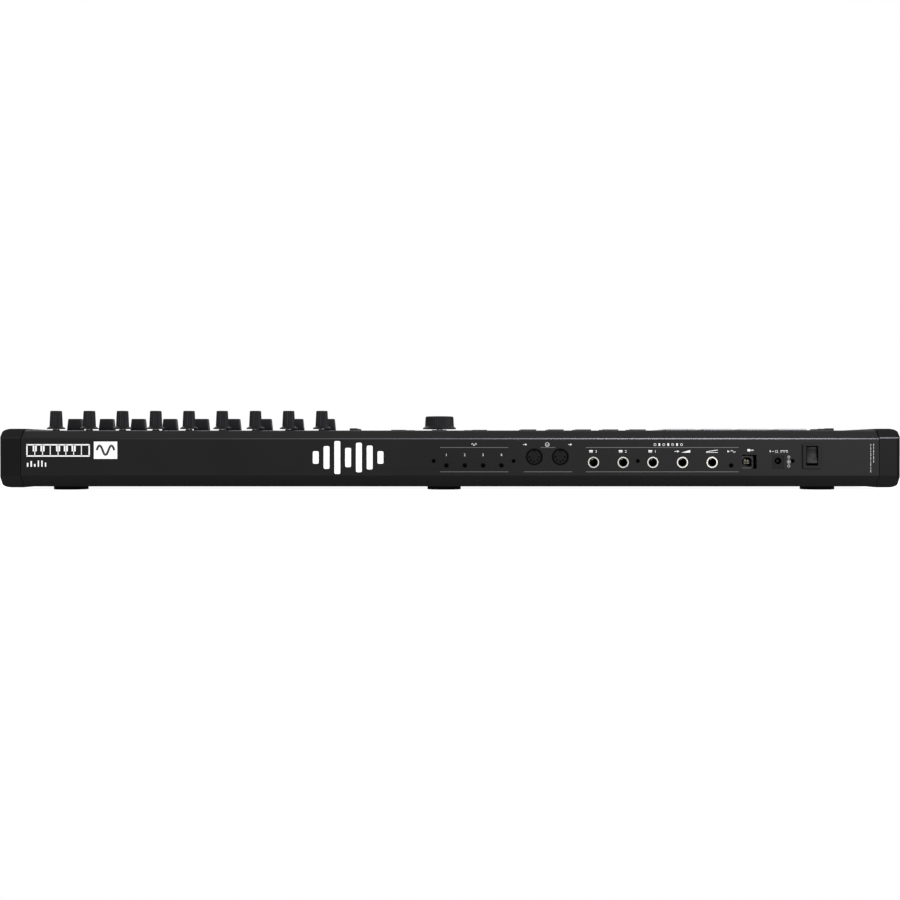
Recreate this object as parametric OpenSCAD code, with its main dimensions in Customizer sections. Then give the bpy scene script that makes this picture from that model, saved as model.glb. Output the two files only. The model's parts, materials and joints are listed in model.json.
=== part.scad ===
// Forty-nine-key keyboard controller: a hollow case on six feet, with a pivoting keybed in front,
// a control panel above it and a socket panel along the rear.
// X runs to the player's right, Y to the rear, Z up.
// The origin is the centre of the footprint, on the floor.

/* [Case] */
// Overall width across both end caps
case_w = 793; // [785:1:820]
// Width of each end cap
cap_w = 18; // [18:0.5:20]
// Height of the control panel's top face
panel_z = 52.7; // [52.2:0.1:53.2]
// Height of the bottom tray's underside above the floor
tray_z = 3; // [2.5:0.1:3.4]
// How far the end caps stand proud of the panel
cap_proud = 1.5; // [1:0.1:2]
// Thickness of the top panel sheet
panel_t = 2; // [1.5:0.1:2.4]
// Thickness of the bottom tray sheet
tray_t = 1.5; // [1:0.1:1.5]

/* [Keys] */
// Width of one octave
octave_w = 164.5; // [164:0.1:165]
// Length of a white key that shows
key_show = 144; // [142:1:144]
// Height of the white keys' top face
white_z = 42; // [41.5:0.1:42]
// How far a black key stands above the white ones
black_rise = 10.5; // [9.5:0.1:10.8]
// Side gap between neighbouring keys
key_gap = 1; // [0.8:0.05:1.1]
// Distance from the panel's front edge back to the key pivot
pivot_y = 26; // [26:0.5:27]

/* [Knobs and faders] */
// Spacing of the knob and fader columns
column_pitch = 30; // [29:0.1:30]
// Diameter of a knob's skirt
knob_d = 16; // [15:0.1:17]
// Height of a knob's top above the floor
knob_z = 70.6; // [69:0.1:71]
// Distance from the rear panel forward to the knobs
knob_back = 28; // [27:0.5:30]
// Distance from the rear panel forward to the faders at mid travel
fader_back = 87; // [84:0.5:87]
// Travel of a fader
fader_travel = 30; // [26:1:30]
// Diameter of the main knob's skirt
main_knob_d = 31.5; // [30:0.1:33]

/* [Pads and buttons] */
// Side of a pad
pad_w = 27; // [25:0.5:28]
// Spacing of the pad columns
pad_pitch_x = 33; // [32:0.1:33]
// Spacing of the pad rows
pad_pitch_y = 32; // [31.5:0.1:32]
// Width of a soft button
button_w = 14; // [12:0.5:15]
// Depth of a soft button
button_d = 9; // [7:0.5:9]

/* [Rear panel] */
// Bore of the large jack sockets
jack_bore_d = 6.5; // [6.4:0.05:6.6]
// Bore of the small jack sockets
mini_bore_d = 3.6; // [3.55:0.05:3.7]
// Spacing of the large jack sockets
jack_pitch = 26.1; // [26:0.05:27]
// Spacing of the small jack sockets
mini_pitch = 16.15; // [16:0.05:16.5]

/* [Hidden] */
$fn = 48;
eps = 0.01;

// Case outline, seen from the side
rear_y = 147;
rocker_tilt = 8;
rocker_depth = 6.2;
rocker_half = 7.3;
rocker_pivot_y = rear_y - 5;
// The case is as deep in front of the origin as the rocker's raised end reaches behind it
front_y = -(rocker_pivot_y + rocker_depth * cos(rocker_tilt) + rocker_half * sin(rocker_tilt));
cap_seam = 0.5;
body_w = case_w - 2 * cap_w - 2 * cap_seam;
chamfer_y = rear_y - 9;
chamfer_z = 45.8;
low_chamfer_y = rear_y - 8;
low_chamfer_z = 12.5;
// The rear face ends in a narrow slanting lip under the chamfer
lip_h = 1;
lip_d = 0.5;
// The top panel is folded down at the rear over a round former
fold_r = 5;
fold_angle = atan2(panel_z - chamfer_z, rear_y - lip_d - chamfer_y);
fold_y = chamfer_y - fold_r * tan(fold_angle / 2);
fold_steps = 6;
cap_top_z = panel_z + cap_proud;
cap_low_z = tray_z - 0.9;
cap_wall = 3;
cap_chamfer_z = chamfer_z + 0.7;
// An end cap's corners: its long ones are quarter ellipses, its rear upright one is a slight bevel
cap_corner_w = 7.5;
cap_corner_h = 3.3;
cap_bevel_w = 3;
cap_bevel_d = 0.8;
cap_edge = 2.2;
front_cap_z = 47.5;
tray_top = tray_z + tray_t;
rail_z = 22.5;
rear_panel_t = 2;
seam = 0.1;

// Keybed
white_w = octave_w / 7;
octaves = 4;
white_count = 7 * octaves + 1;
keys_right = body_w / 2 - 1.9;
keys_x = keys_right - white_count * white_w;
key_front = -key_show;
head_back = key_front + 49;
black_front = head_back + key_gap;
black_w = 11;
black_back = -2;
pivot_z = 30;
axle_r = 2;
axle_bore_r = axle_r + 0.05;
key_end = pivot_y + 7;
key_wall = 1.6;
key_top_t = 2.6;
wall_low_z = 26;
lip_low_z = 22;
plunger_y = -20;
plunger_z = 24;
ear_t = 2;
frame_plate_z = 9;
frame_plate_t = 2;
board_t = 1.6;
contact_board_z = 15;

// The key tails share an octave's width: five slots under its first three white keys, seven under the rest
slot_a = 3 * white_w / 5;
slot_b = 4 * white_w / 7;
function slot_x(semitone) =
    semitone < 5 ? slot_a * (semitone + 0.5) : 3 * white_w + slot_b * (semitone - 5 + 0.5);
function slot_w(semitone) = semitone < 5 ? slot_a : slot_b;
// Semitone of each white key of an octave, and of each black one
white_semitones = [0, 2, 4, 5, 7, 9, 11];
black_semitones = [1, 3, 6, 8, 10];
has_black_left = [false, true, true, false, true, true, true];
has_black_right = [true, true, false, true, true, true, false];

// Panel controls
knob_y = rear_y - knob_back;
fader_y = rear_y - fader_back;
columns = 9;
column_right = 355.7;
function column_x(i) = column_right - (columns - i) * column_pitch;
control_board_z = 41.4;
control_board_top = control_board_z + board_t;
shaft_r = 2.5;
bush_r = 3.2;
bush_top = panel_z + 1.1;
knob_low_z = panel_z + 1.5;
fader_low_z = panel_z + 0.8;
fader_top_z = 64.8;
fader_half_w = 7.2;
slot_w_y = 2.6;
main_x = 10;
main_y = rear_y - 88;
main_knob_z = 67.2;
main_low_z = panel_z + 2.4;
main_press = 0.8;
main_shaft_r = 3;
fit = 0.05;

// Pads, buttons, display
pad_x = -255.5;
pad_y = 71.5;
pad_top = panel_z + 1.6;
pad_frame_top = panel_z + 0.3;
pad_frame_w = 3 * pad_pitch_x + pad_w + 7;
pad_frame_d = 3 * pad_pitch_y + pad_w + 7;
button_top = panel_z + 1.2;
small_top = panel_z + 2.2;
button_gap = 0.35;
display = [88, 28];
display_y = 119;
command_x = -70.8;
command_pitch = 24.7;
command_rows = [117, 92];
transport_y = 22;
select_y = 22;
select_board_z = 44.6;
small_left_x = -343;
small_right_x = 87;
small_w = 6.8;
small_hole = small_w + 2 * button_gap;
small_left_rows = [117, 95, 72];
small_right_rows = [119, 89, 71];
// Centre, width and depth of every soft button, in two groups
command_buttons = concat(
    [for (row = command_rows, i = [0:4]) [command_x - i * command_pitch, row, button_w, button_d]],
    [for (i = [0:5]) [command_x + command_pitch - i * command_pitch, transport_y, button_w, button_d]]);
select_buttons = concat(
    [for (i = [-1:1]) [main_x + i * 37.4, 94, 13.6, 7]],
    [for (i = [-1, 1]) [main_x + i * 30, 74, button_w, button_d]],
    [for (i = [1:columns]) [column_x(i), select_y, button_w, 8]]);
small_buttons = concat(
    [for (row = small_left_rows) [small_left_x, row]],
    [for (row = small_right_rows) [small_right_x, row]]);

// Wheels
wheel_r = 24;
wheel_w = 14;
wheel_y = -70;
wheel_z = 31;
wheel_axle_r = 3;
pitch_x = -357;
mod_x = -329;
deck_top = 46;
deck_t = 2.5;
deck_left = -body_w / 2;
deck_right = keys_x - 2.7;

// Rear sockets: X and Z of each
jack_z = 24.4;
jack_x = -126.3;
jack_count = 5;
jack_face = 1;
jack_ring_r = 4.9;
mini_z = 21.7;
mini_nose_r = 2.3;
mini_x = 3.2;
mini_count = 4;
mini_in_x = -247.7;
midi_z = 29.2;
midi_x = [-74.2, -97.1];
midi_hole_r = 7.7;
usb_x = -263.7;
usb_z = 24.8;
usb_hole = [12.9, 12.4];
usb_inset = 7;
dc_x = -288.9;
dc_z = 24.6;
dc_size = [10.1, 11.8];
dc_bore_z = 25.7;
switch_x = -318.6;
switch_z = 29.75;
switch_bezel = [16.3, 21.7];
switch_hole = [13.4, 19.4];
switch_proud = 1.5;
rocker_w = 9.6;
rocker_z = switch_z + 0.5;
rocker_gap = [rocker_w / 2 + 0.4, rocker_half + 1.3];
rear_screw_x = [14.4, -56, -165.5, -301.8];
rear_screw_z = 25.65;
jack_board_z = 17;
jack_board_top = jack_board_z + board_t;

// Feet and screws under the case
foot_r = 15;
foot_x = [-330.5, 5.3, 341.1];
foot_y = [-118, 122];
base_screw_x = [-290, -120, 60, 220, 360];
base_screw_y = [-134, 40];

WHITE_NAMES = ["c_keys", "d_keys", "e_keys", "f_keys", "g_keys", "a_keys", "b_keys"];
KNOB_NAMES = [for (i = [1:columns]) str("knob_", i)];
FADER_NAMES = [for (i = [1:columns]) str("fader_", i)];

// ---------- shapes that repeat ----------

// A box from one corner to the opposite one
module block(low, high) {
    translate(low) cube(high - low);
}

// A flat outline with round corners, centred
module round_rect(w, d, r) {
    square([w - 2 * r, d], center = true);
    square([w, d - 2 * r], center = true);
    for (x = [-1, 1], y = [-1, 1])
        translate([x * (w / 2 - r), y * (d / 2 - r)]) circle(r);
}

// A block with round upright edges, centred in X and Y
module round_block(w, d, r, low, high) {
    translate([0, 0, low]) linear_extrude(high - low) round_rect(w, d, r);
}

// A side outline, given as [Y, Z] points, drawn out along X
module along_x(x_low, x_high) {
    translate([x_low, 0, 0]) rotate([90, 0, 90]) linear_extrude(x_high - x_low) children();
}

// A front outline, given as [X, Z] points, drawn out along Y
module along_y(y_low, y_high) {
    translate([0, y_high, 0]) rotate([90, 0, 0]) linear_extrude(y_high - y_low) children();
}

// A cylinder that lies along Y, from y_low to y_high
module rod_y(x, z, r, y_low, y_high) {
    translate([x, y_low, z]) rotate([-90, 0, 0]) cylinder(h = y_high - y_low, r = r);
}

// A cylinder that lies along X
module rod_x(y, z, r, x_low, x_high) {
    translate([x_low, y, z]) rotate([0, 90, 0]) cylinder(h = x_high - x_low, r = r);
}

// ---------- case ----------

module panel_outline() {
    inner_y = chamfer_y - 0.85;
    fold = [for (i = [0:fold_steps]) let (a = fold_angle * i / fold_steps)
        [fold_y + fold_r * sin(a), panel_z - fold_r + fold_r * cos(a)]];
    polygon(concat([[0, panel_z]], fold, [
        [rear_y - lip_d, chamfer_z + seam], [rear_y - 2.6, chamfer_z + seam], [inner_y, panel_z - panel_t],
        [panel_t, panel_z - panel_t], [panel_t, white_z + 1.4], [0, white_z + 1.4]]));
}

module top_panel() {
    color("#1d1d1f") difference() {
        along_x(-body_w / 2, body_w / 2) panel_outline();
        for (i = [1:columns]) {
            translate([column_x(i), knob_y, panel_z - 5]) cylinder(h = 10, r = bush_r + 0.15);
            translate([column_x(i), fader_y, 0])
                round_block(slot_w_y, fader_travel + 8, 1.2, panel_z - 5, panel_z + 5);
        }
        translate([main_x, main_y, panel_z - 5]) cylinder(h = 10, r = 4);
        for (b = concat(command_buttons, select_buttons))
            translate([b[0], b[1], 0])
                round_block(b[2] + 2 * button_gap, b[3] + 2 * button_gap, 1.1, panel_z - 5, panel_z + 5);
        for (b = small_buttons)
            translate([b[0], b[1], 0]) round_block(small_hole, small_hole, 0.9, panel_z - 5, panel_z + 5);
        translate([pad_x, pad_y, 0])
            round_block(pad_frame_w - 4, pad_frame_d - 4, 2, panel_z - 5, panel_z + 5);
        translate([main_x, display_y, 0])
            round_block(display[0], display[1], 1.5, panel_z - 5, panel_z + 5);
    }
}

module rear_panel() {
    low = low_chamfer_z + seam;
    color("#222224") difference() {
        along_x(-body_w / 2, body_w / 2) polygon([
            [rear_y - rear_panel_t, low], [rear_y, low], [rear_y, chamfer_z - lip_h],
            [rear_y - lip_d, chamfer_z], [rear_y - rear_panel_t, chamfer_z]]);
        for (i = [0:jack_count - 1])
            rod_y(jack_x - i * jack_pitch, jack_z, jack_ring_r - 0.7, rear_y - 5, rear_y + 5);
        for (i = [0:mini_count - 1])
            rod_y(mini_x - i * mini_pitch, mini_z, mini_nose_r + fit, rear_y - 5, rear_y + 5);
        rod_y(mini_in_x, mini_z, mini_nose_r + fit, rear_y - 5, rear_y + 5);
        for (x = midi_x) rod_y(x, midi_z, midi_hole_r, rear_y - 5, rear_y + 5);
        for (x = rear_screw_x) rod_y(x, rear_screw_z, 1.2, rear_y - 5, rear_y + 5);
        window(usb_x, usb_z, usb_hole);
        window(dc_x, dc_z, [dc_size[0] + 0.2, dc_size[1] + 0.2]);
        window(switch_x, switch_z, switch_hole);
    }
}

// A square hole through the rear panel
module window(x, z, size) {
    block([x - size[0] / 2, rear_y - 5, z - size[1] / 2], [x + size[0] / 2, rear_y + 5, z + size[1] / 2]);
}

module base_tray() {
    front = front_y + 1.9;
    color("#161617") difference() {
        along_x(-body_w / 2, body_w / 2) polygon([
            [front, tray_z], [low_chamfer_y, tray_z], [rear_y, low_chamfer_z],
            [rear_y - 2, low_chamfer_z], [low_chamfer_y - 0.8, tray_top], [front + tray_t, tray_top],
            [front + tray_t, rail_z], [front + 0.7, rail_z], [front, rail_z - 0.7]]);
        for (x = base_screw_x, y = base_screw_y)
            translate([x, y, 0]) cylinder(h = 10, r = 1.7);
    }
}

// Outline of an end cap, seen from the side
module cap_outline() {
    polygon([
        [rear_y, low_chamfer_z], [rear_y, cap_chamfer_z - lip_h], [rear_y - lip_d, cap_chamfer_z],
        [chamfer_y, cap_top_z], [-4, cap_top_z], [-20, front_cap_z], [front_y + 10, front_cap_z],
        [front_y, front_cap_z - 9], [front_y, 13], [front_y + 9, cap_low_z],
        [low_chamfer_y - 1, cap_low_z]]);
}

// A quarter round of the given half-axes about a centre, from one angle on
function quarter(centre, w, h, start) =
    [for (a = [start:7.5:start + 90]) centre + [w * cos(a), h * sin(a)]];

// The right-hand end cap: a shell that is open towards the case
module end_cap() {
    inner = case_w / 2 - cap_w;
    outer = case_w / 2;
    corner_x = outer - cap_corner_w;
    color("#131314") difference() {
        intersection() {
            along_x(inner, outer) cap_outline();
            along_y(front_y - 1, rear_y + 1) polygon(concat(
                [[inner - 1, cap_top_z], [inner - 1, cap_low_z]],
                quarter([corner_x, cap_low_z + cap_corner_h], cap_corner_w, cap_corner_h, -90),
                quarter([corner_x, cap_top_z - cap_corner_h], cap_corner_w, cap_corner_h, 0)));
            linear_extrude(100) polygon(concat(
                [[outer - cap_bevel_w, rear_y], [inner - 1, rear_y], [inner - 1, front_y]],
                quarter([outer - cap_edge, front_y + cap_edge], cap_edge, cap_edge, -90),
                [[outer, rear_y - cap_bevel_d]]));
        }
        along_x(inner - 1, outer - cap_wall) offset(delta = -cap_wall) cap_outline();
    }
}

module wheel_deck() {
    front = front_y + 4;
    ear_in = wheel_w / 2 + 1;
    ear_out = ear_in + 2.5;
    color("#18181a") difference() {
        union() {
            block([deck_left, front, deck_top - deck_t], [deck_right, -0.2, deck_top]);
            block([deck_left, front, 20], [deck_right, front + 2, deck_top]);
            block([deck_right - 2, front, 14], [deck_right, -0.2, deck_top]);
            block([deck_left, -2.2, deck_top - 1], [deck_right, -0.2, panel_z]);
            for (x = [pitch_x, mod_x], s = [-1, 1])
                block([x + (s > 0 ? ear_in : -ear_out), wheel_y - 9, wheel_z - 7],
                      [x + (s > 0 ? ear_out : -ear_in), wheel_y + 9, deck_top - 1]);
        }
        for (x = [pitch_x, mod_x]) {
            block([x - wheel_w / 2 - 0.8, wheel_y - 23, deck_top - 10],
                  [x + wheel_w / 2 + 0.8, wheel_y + 23, deck_top + 5]);
            rod_x(wheel_y, wheel_z, wheel_axle_r + fit, x - 20, x + 20);
        }
    }
}

// ---------- display, pads, boards ----------

module display_window() {
    color("#0a0c0e") translate([main_x, display_y, 0])
        round_block(display[0] - 0.3, display[1] - 0.3, 1.3, panel_z - 1.2, panel_z - 0.1);
}

module display_module() {
    color("#3b4148") translate([main_x, display_y, 0])
        block([-40, -11.5, control_board_top], [40, 11.5, panel_z - 1.3]);
}

module pad_frame() {
    color("#232326") difference() {
        translate([pad_x, pad_y, 0]) union() {
            round_block(pad_frame_w, pad_frame_d, 2.5, panel_z, pad_frame_top);
            round_block(pad_frame_w - 4.4, pad_frame_d - 4.4, 1.8, panel_z - 3, panel_z + eps);
        }
        pads_at() round_block(pad_w + 0.8, pad_w + 0.8, 2.2, panel_z - 5, panel_z + 5);
    }
}

// Repeats its children at the sixteen pads
module pads_at() {
    for (i = [-1.5:1.5], j = [-1.5:1.5])
        translate([pad_x + i * pad_pitch_x, pad_y + j * pad_pitch_y, 0]) children();
}

module drum_pads() {
    color("#8b8d92") pads_at() {
        round_block(pad_w, pad_w, 2, panel_z - 4, pad_top);
        round_block(pad_w + 2.4, pad_w + 2.4, 2, panel_z - 6, panel_z - 3.8);
    }
}

module circuit_boards() {
    color("#1f4a34") {
        block([-371, 36, control_board_z], [371, 134, control_board_top]);
        block([-180, 12, select_board_z], [371, 32, select_board_z + board_t]);
        block([-300, 100, jack_board_z], [25, rear_y - 3, jack_board_top]);
        block([keys_x + 3, -32, contact_board_z], [keys_right - 3, -8, contact_board_z + board_t]);
    }
}

// Bodies of the knobs' encoders: nine small ones and the main one
module rotary_encoders() {
    color("#8e9094") {
        for (i = [1:columns])
            translate([column_x(i), knob_y, 0]) encoder(12, bush_r, shaft_r + fit, bush_top);
        translate([main_x, main_y, 0]) encoder(14, 3.8, main_shaft_r + fit, panel_z + 1.2);
    }
}

module encoder(side, neck_r, bore_r, top) {
    difference() {
        union() {
            block([-side / 2, -side / 2, control_board_top], [side / 2, side / 2, control_board_top + 6.5]);
            translate([0, 0, control_board_top]) cylinder(h = top - control_board_top, r = neck_r);
        }
        translate([0, 0, control_board_top + 2]) cylinder(h = 20, r = bore_r);
    }
}

module fader_tracks() {
    color("#8e9094") for (i = [1:columns]) translate([column_x(i), fader_y, 0]) difference() {
        block([-4.5, -23, control_board_top], [4.5, 23, panel_z - panel_t]);
        block([-1.1, -fader_travel / 2 - 3, control_board_top + 1.5],
              [1.1, fader_travel / 2 + 3, panel_z]);
    }
}

// ---------- keybed ----------

module key_frame() {
    left = keys_x - 1;
    right = keys_right + 1;
    color("#2c2c2e") difference() {
        union() {
            along_x(left, right) polygon([
                [-138, tray_top], [-130, tray_top], [-130, frame_plate_z], [36, frame_plate_z],
                [36, tray_top], [44, tray_top], [44, frame_plate_z + frame_plate_t],
                [-138, frame_plate_z + frame_plate_t]]);
            block([left, -30, frame_plate_z], [right, -27, contact_board_z]);
            block([left, -13, frame_plate_z], [right, -10, contact_board_z]);
            for (n = [0:octaves])
                block([keys_x + n * octave_w - ear_t / 2, 15, frame_plate_z],
                      [keys_x + n * octave_w + ear_t / 2, pivot_y + 6, pivot_z + 6]);
            block([right - ear_t, 15, frame_plate_z], [right, pivot_y + 6, pivot_z + 6]);
            for (n = [0:white_count - 1])
                block([keys_x + (n + 0.5) * white_w - 4, -126, frame_plate_z],
                      [keys_x + (n + 0.5) * white_w + 4, -123, 28]);
            for (n = [0:octaves - 1], s = black_semitones)
                block([keys_x + n * octave_w + slot_x(s) - 2, -81, frame_plate_z],
                      [keys_x + n * octave_w + slot_x(s) + 2, -78, 36]);
        }
        rod_x(pivot_y, pivot_z, axle_bore_r, left - 5, right + 5);
        for (x = base_screw_x, y = base_screw_y)
            translate([x, y, 0]) cylinder(h = 30, r = 1.55);
    }
}

module key_axle() {
    color("#b9bcc2") rod_x(pivot_y, pivot_z, axle_r, keys_x - 1.5, keys_right + 1.4);
}

// One bent strip for each key, from the frame up into the key's hollow, ahead of the pivot
module key_springs() {
    t = 0.5;
    hollow = white_z - key_top_t;
    plate = frame_plate_z + frame_plate_t;
    color("#c3a15a") for (n = [0:octaves], s = [0:11]) if (n < octaves || s == 0)
        translate([keys_x + n * octave_w + slot_x(s), 0, 0]) along_x(-2.5, 2.5) polygon([
            [2, plate], [10, plate], [10, plate + t], [4, plate + t],
            [9, hollow - 2.4], [14, hollow - 1.9], [14, hollow - 1.4], [8.6, hollow - 1.9],
            [3.4, plate + 1.2 * t], [2, plate + t]]);
}

module contact_domes() {
    base = contact_board_z + board_t;
    color("#6d6f73") union() {
        block([keys_x + 4, -28, base], [keys_right - 4, -12, base + 0.8]);
        for (n = [0:octaves], s = [0:11]) if (n < octaves || s == 0)
            translate([keys_x + n * octave_w + slot_x(s), plunger_y, base]) cylinder(h = 3.4, r = 3);
    }
}

// The white key at place k of octave n. The last key of the keyboard has no black key beside it.
module white_key(n, k, last = false) {
    x = keys_x + n * octave_w;
    s = white_semitones[k];
    room = black_w / 2 + key_gap;
    head_l = x + k * white_w + key_gap / 2;
    head_r = x + (k + 1) * white_w - key_gap / 2;
    mid_l = has_black_left[k] ? x + slot_x(s - 1) + room : head_l;
    mid_r = has_black_right[k] && !last ? x + slot_x(s + 1) - room : head_r;
    tail_l = x + slot_x(s) - slot_w(s) / 2 + 1.5;
    tail_r = x + slot_x(s) + slot_w(s) / 2 - 1.5;
    hollow = white_z - key_top_t;
    t = key_wall;
    difference() {
        union() {
            block([head_l, key_front, wall_low_z], [head_r, head_back, white_z]);
            block([mid_l, head_back - eps, wall_low_z], [mid_r, 3, white_z]);
            block([tail_l, 3 - eps, wall_low_z], [tail_r, key_end, white_z]);
            block([head_l, key_front, lip_low_z], [head_r, key_front + t, wall_low_z + eps]);
            block([tail_l, pivot_y - 7, lip_low_z], [tail_r, key_end, wall_low_z + eps]);
        }
        block([head_l + t, key_front + t, 0], [head_r - t, head_back - t, hollow]);
        block([mid_l + t, head_back - 2 * t, 0], [mid_r - t, plunger_y - 2, hollow]);
        block([mid_l + t, plunger_y + 2, 0], [mid_r - t, 3 - t, hollow]);
        block([tail_l + t, 3 - 2 * t, 0], [tail_r - t, pivot_y - 7, hollow]);
        rod_x(pivot_y, pivot_z, axle_bore_r, tail_l - 5, tail_r + 5);
    }
    block([tail_l + 2, plunger_y - 2, plunger_z], [tail_r - 2, plunger_y + 2, wall_low_z + eps]);
}

// All the white keys at place k of their octaves, which are one moulding, apart from the top C
module white_keys(k) {
    color("#efeeea") {
        for (n = [0:octaves - 1]) union() white_key(n, k);
        if (k == 0) union() white_key(octaves, 0, last = true);
    }
}

module black_key(n, s) {
    x = keys_x + n * octave_w + slot_x(s);
    top = white_z + black_rise;
    half = black_w / 2;
    tail = slot_b / 2 - 1.5;
    low = 30;
    hollow = white_z - key_top_t;
    translate([x, 0, 0]) difference() {
        union() {
            intersection() {
                along_y(black_front, black_back) polygon([
                    [-half, low], [half, low], [half, white_z + 1], [half - 0.8, top],
                    [0.8 - half, top], [-half, white_z + 1]]);
                along_x(-half, half) polygon([
                    [black_front, low], [black_front, white_z + 0.5], [black_front + 3.5, top],
                    [black_back - 1.5, top], [black_back, white_z + 1], [black_back, low]]);
            }
            block([-tail, black_back - eps, wall_low_z], [tail, key_end, white_z]);
            block([-tail, plunger_y - 2, plunger_z], [tail, plunger_y + 2, low + eps]);
            block([-tail, pivot_y - 7, lip_low_z], [tail, key_end, wall_low_z + eps]);
        }
        block([-half + 1.5, black_front + 4, 0], [half - 1.5, plunger_y - 2, top - 3]);
        block([-half + 1.5, plunger_y + 2, 0], [half - 1.5, black_back - 1.8, hollow]);
        block([-tail + key_wall, black_back - 2, 0], [tail - key_wall, pivot_y - 7, hollow]);
        rod_x(pivot_y, pivot_z, axle_bore_r, -20, 20);
    }
}

module black_keys(semitones) {
    color("#141416") for (n = [0:octaves - 1], s = semitones) black_key(n, s);
}

// ---------- knobs, faders, wheels ----------

module knob(i) {
    r = knob_d / 2;
    bore_top = knob_z - 2.4;
    translate([column_x(i), knob_y, 0]) {
        color("#232326") rotate_extrude() polygon([
            [shaft_r + fit, knob_low_z], [r, knob_low_z], [r, knob_low_z + 1.1],
            [r - 2.1, knob_low_z + 2.7], [r - 2.85, knob_z - 0.5], [r - 3.2, knob_z - 0.05],
            [0, knob_z], [0, bore_top], [shaft_r + fit, bore_top]]);
        color("#b9bcc2") translate([0, 0, control_board_top + 2.2])
            cylinder(h = bore_top - fit - control_board_top - 2.2, r = shaft_r);
    }
}

module main_knob() {
    r = main_knob_d / 2;
    bore_top = main_knob_z - 3;
    color("#232326") translate([main_x, main_y, 0]) rotate_extrude($fn = 96) polygon([
        [main_shaft_r + fit, main_low_z], [r, main_low_z], [r, main_low_z + 1.3],
        [r - 1.9, main_low_z + 2.6], [r - 2.6, main_knob_z - 0.9], [r - 3.2, main_knob_z - 0.3],
        [0, main_knob_z], [0, bore_top], [main_shaft_r + fit, bore_top]]);
}

module main_knob_shaft() {
    bottom = control_board_top + 2 + main_press + 0.3;
    color("#b9bcc2") translate([main_x, main_y, bottom])
        cylinder(h = main_knob_z - 3.1 - bottom, r = main_shaft_r);
}

module fader(i) {
    half = fader_half_w;
    mid = (fader_top_z + fader_low_z) / 2;
    lever_top = mid + 1;
    translate([column_x(i), fader_y, 0]) {
        color("#232326") difference() {
            intersection() {
                along_y(-6, 6) polygon([
                    [-half, fader_low_z], [half, fader_low_z],
                    [half - 0.55, fader_top_z - 0.6], [half - 1.1, fader_top_z],
                    [1.1 - half, fader_top_z], [0.55 - half, fader_top_z - 0.6]]);
                along_x(-10, 10) polygon([
                    [-5, fader_low_z], [5, fader_low_z], [4.2, fader_top_z], [-4.2, fader_top_z]]);
            }
            rod_x(0, fader_top_z + 5.3, 6.2, -10, 10);
            block([-0.65, -2.05, 0], [0.65, 2.05, lever_top + fit]);
        }
        color("#b9bcc2") block([-0.6, -2, control_board_top + 2], [0.6, 2, lever_top]);
    }
}

module wheel(x, notch) {
    color("#1b1b1d") translate([x, wheel_y, wheel_z]) difference() {
        union() {
            rod_x(0, 0, wheel_r, -wheel_w / 2, wheel_w / 2, $fn = 128);
            rod_x(0, 0, wheel_axle_r, -wheel_w / 2 - 3.3, wheel_w / 2 + 3.3);
        }
        rotate([notch, 0, 0]) rod_x(0, wheel_r + 5, 7, -20, 20);
        for (s = [-1, 1]) difference() {
            rod_x(0, 0, wheel_r - 4, s > 0 ? wheel_w / 2 - 3 : -wheel_w / 2 - 3,
                  s > 0 ? wheel_w / 2 + 3 : -wheel_w / 2 + 3);
            rod_x(0, 0, 6, -20, 20);
        }
    }
}

// ---------- buttons ----------

// A group of soft buttons, each with the flange that keeps it under the panel
module soft_buttons(group) {
    color("#2c2d30") for (b = group) translate([b[0], b[1], 0]) {
        round_block(b[2], b[3], 0.9, panel_z - 3, button_top);
        round_block(b[2] + 2, b[3] + 2, 0.9, panel_z - 4.2, panel_z - 3 + eps);
    }
}

module small_buttons() {
    color("#2c2d30") for (b = small_buttons) translate([b[0], b[1], 0]) {
        round_block(small_w, small_w, 0.7, panel_z - 3, small_top);
        round_block(small_w + 2, small_w + 2, 0.7, panel_z - 4.2, panel_z - 3 + eps);
    }
}

// ---------- rear sockets ----------

module jack_sockets() {
    color("#b9bcc2") for (i = [0:jack_count - 1])
        translate([jack_x - i * jack_pitch, 0, jack_z]) difference() {
            union() {
                rod_y(0, 0, jack_ring_r - 0.8, rear_y - 8, rear_y + jack_face);
                rod_y(0, 0, jack_ring_r, rear_y, rear_y + jack_face);
                block([-7.5, rear_y - 30, jack_board_top - jack_z], [7.5, rear_y - 5, 6.6]);
            }
            rod_y(0, 0, jack_bore_d / 2, rear_y - 25, rear_y + 5);
        }
}

module mini_jack_sockets() {
    for (x = concat([for (i = [0:mini_count - 1]) mini_x - i * mini_pitch], [mini_in_x]))
        translate([x, 0, mini_z]) color("#1b1b1d") difference() {
            union() {
                block([-4.2, rear_y - 16, jack_board_top - mini_z], [4.2, rear_y - rear_panel_t - 0.1, 3.4]);
                rod_y(0, 0, mini_nose_r, rear_y - 5, rear_y);
            }
            rod_y(0, 0, mini_bore_d / 2, rear_y - 14, rear_y + 5);
        }
}

module midi_sockets() {
    face = rear_y - 0.8;
    for (x = midi_x) translate([x, 0, midi_z]) color("#1b1b1d") difference() {
        union() {
            rod_y(0, 0, midi_hole_r - 0.1, rear_y - 12, face);
            block([-9, rear_y - 18, jack_board_top - midi_z], [9, rear_y - 5, 9]);
        }
        difference() {
            rod_y(0, 0, 7, face - 8, face + 5);
            rod_y(0, 0, 6, face - 20, face + 5);
        }
        block([-1.2, face - 3, 4.6], [1.2, face + 5, 6.4]);
        for (a = [180:45:360])
            rod_y(4.1 * cos(a), 4.1 * sin(a), 0.75, face - 6, face + 5);
    }
}

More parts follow.
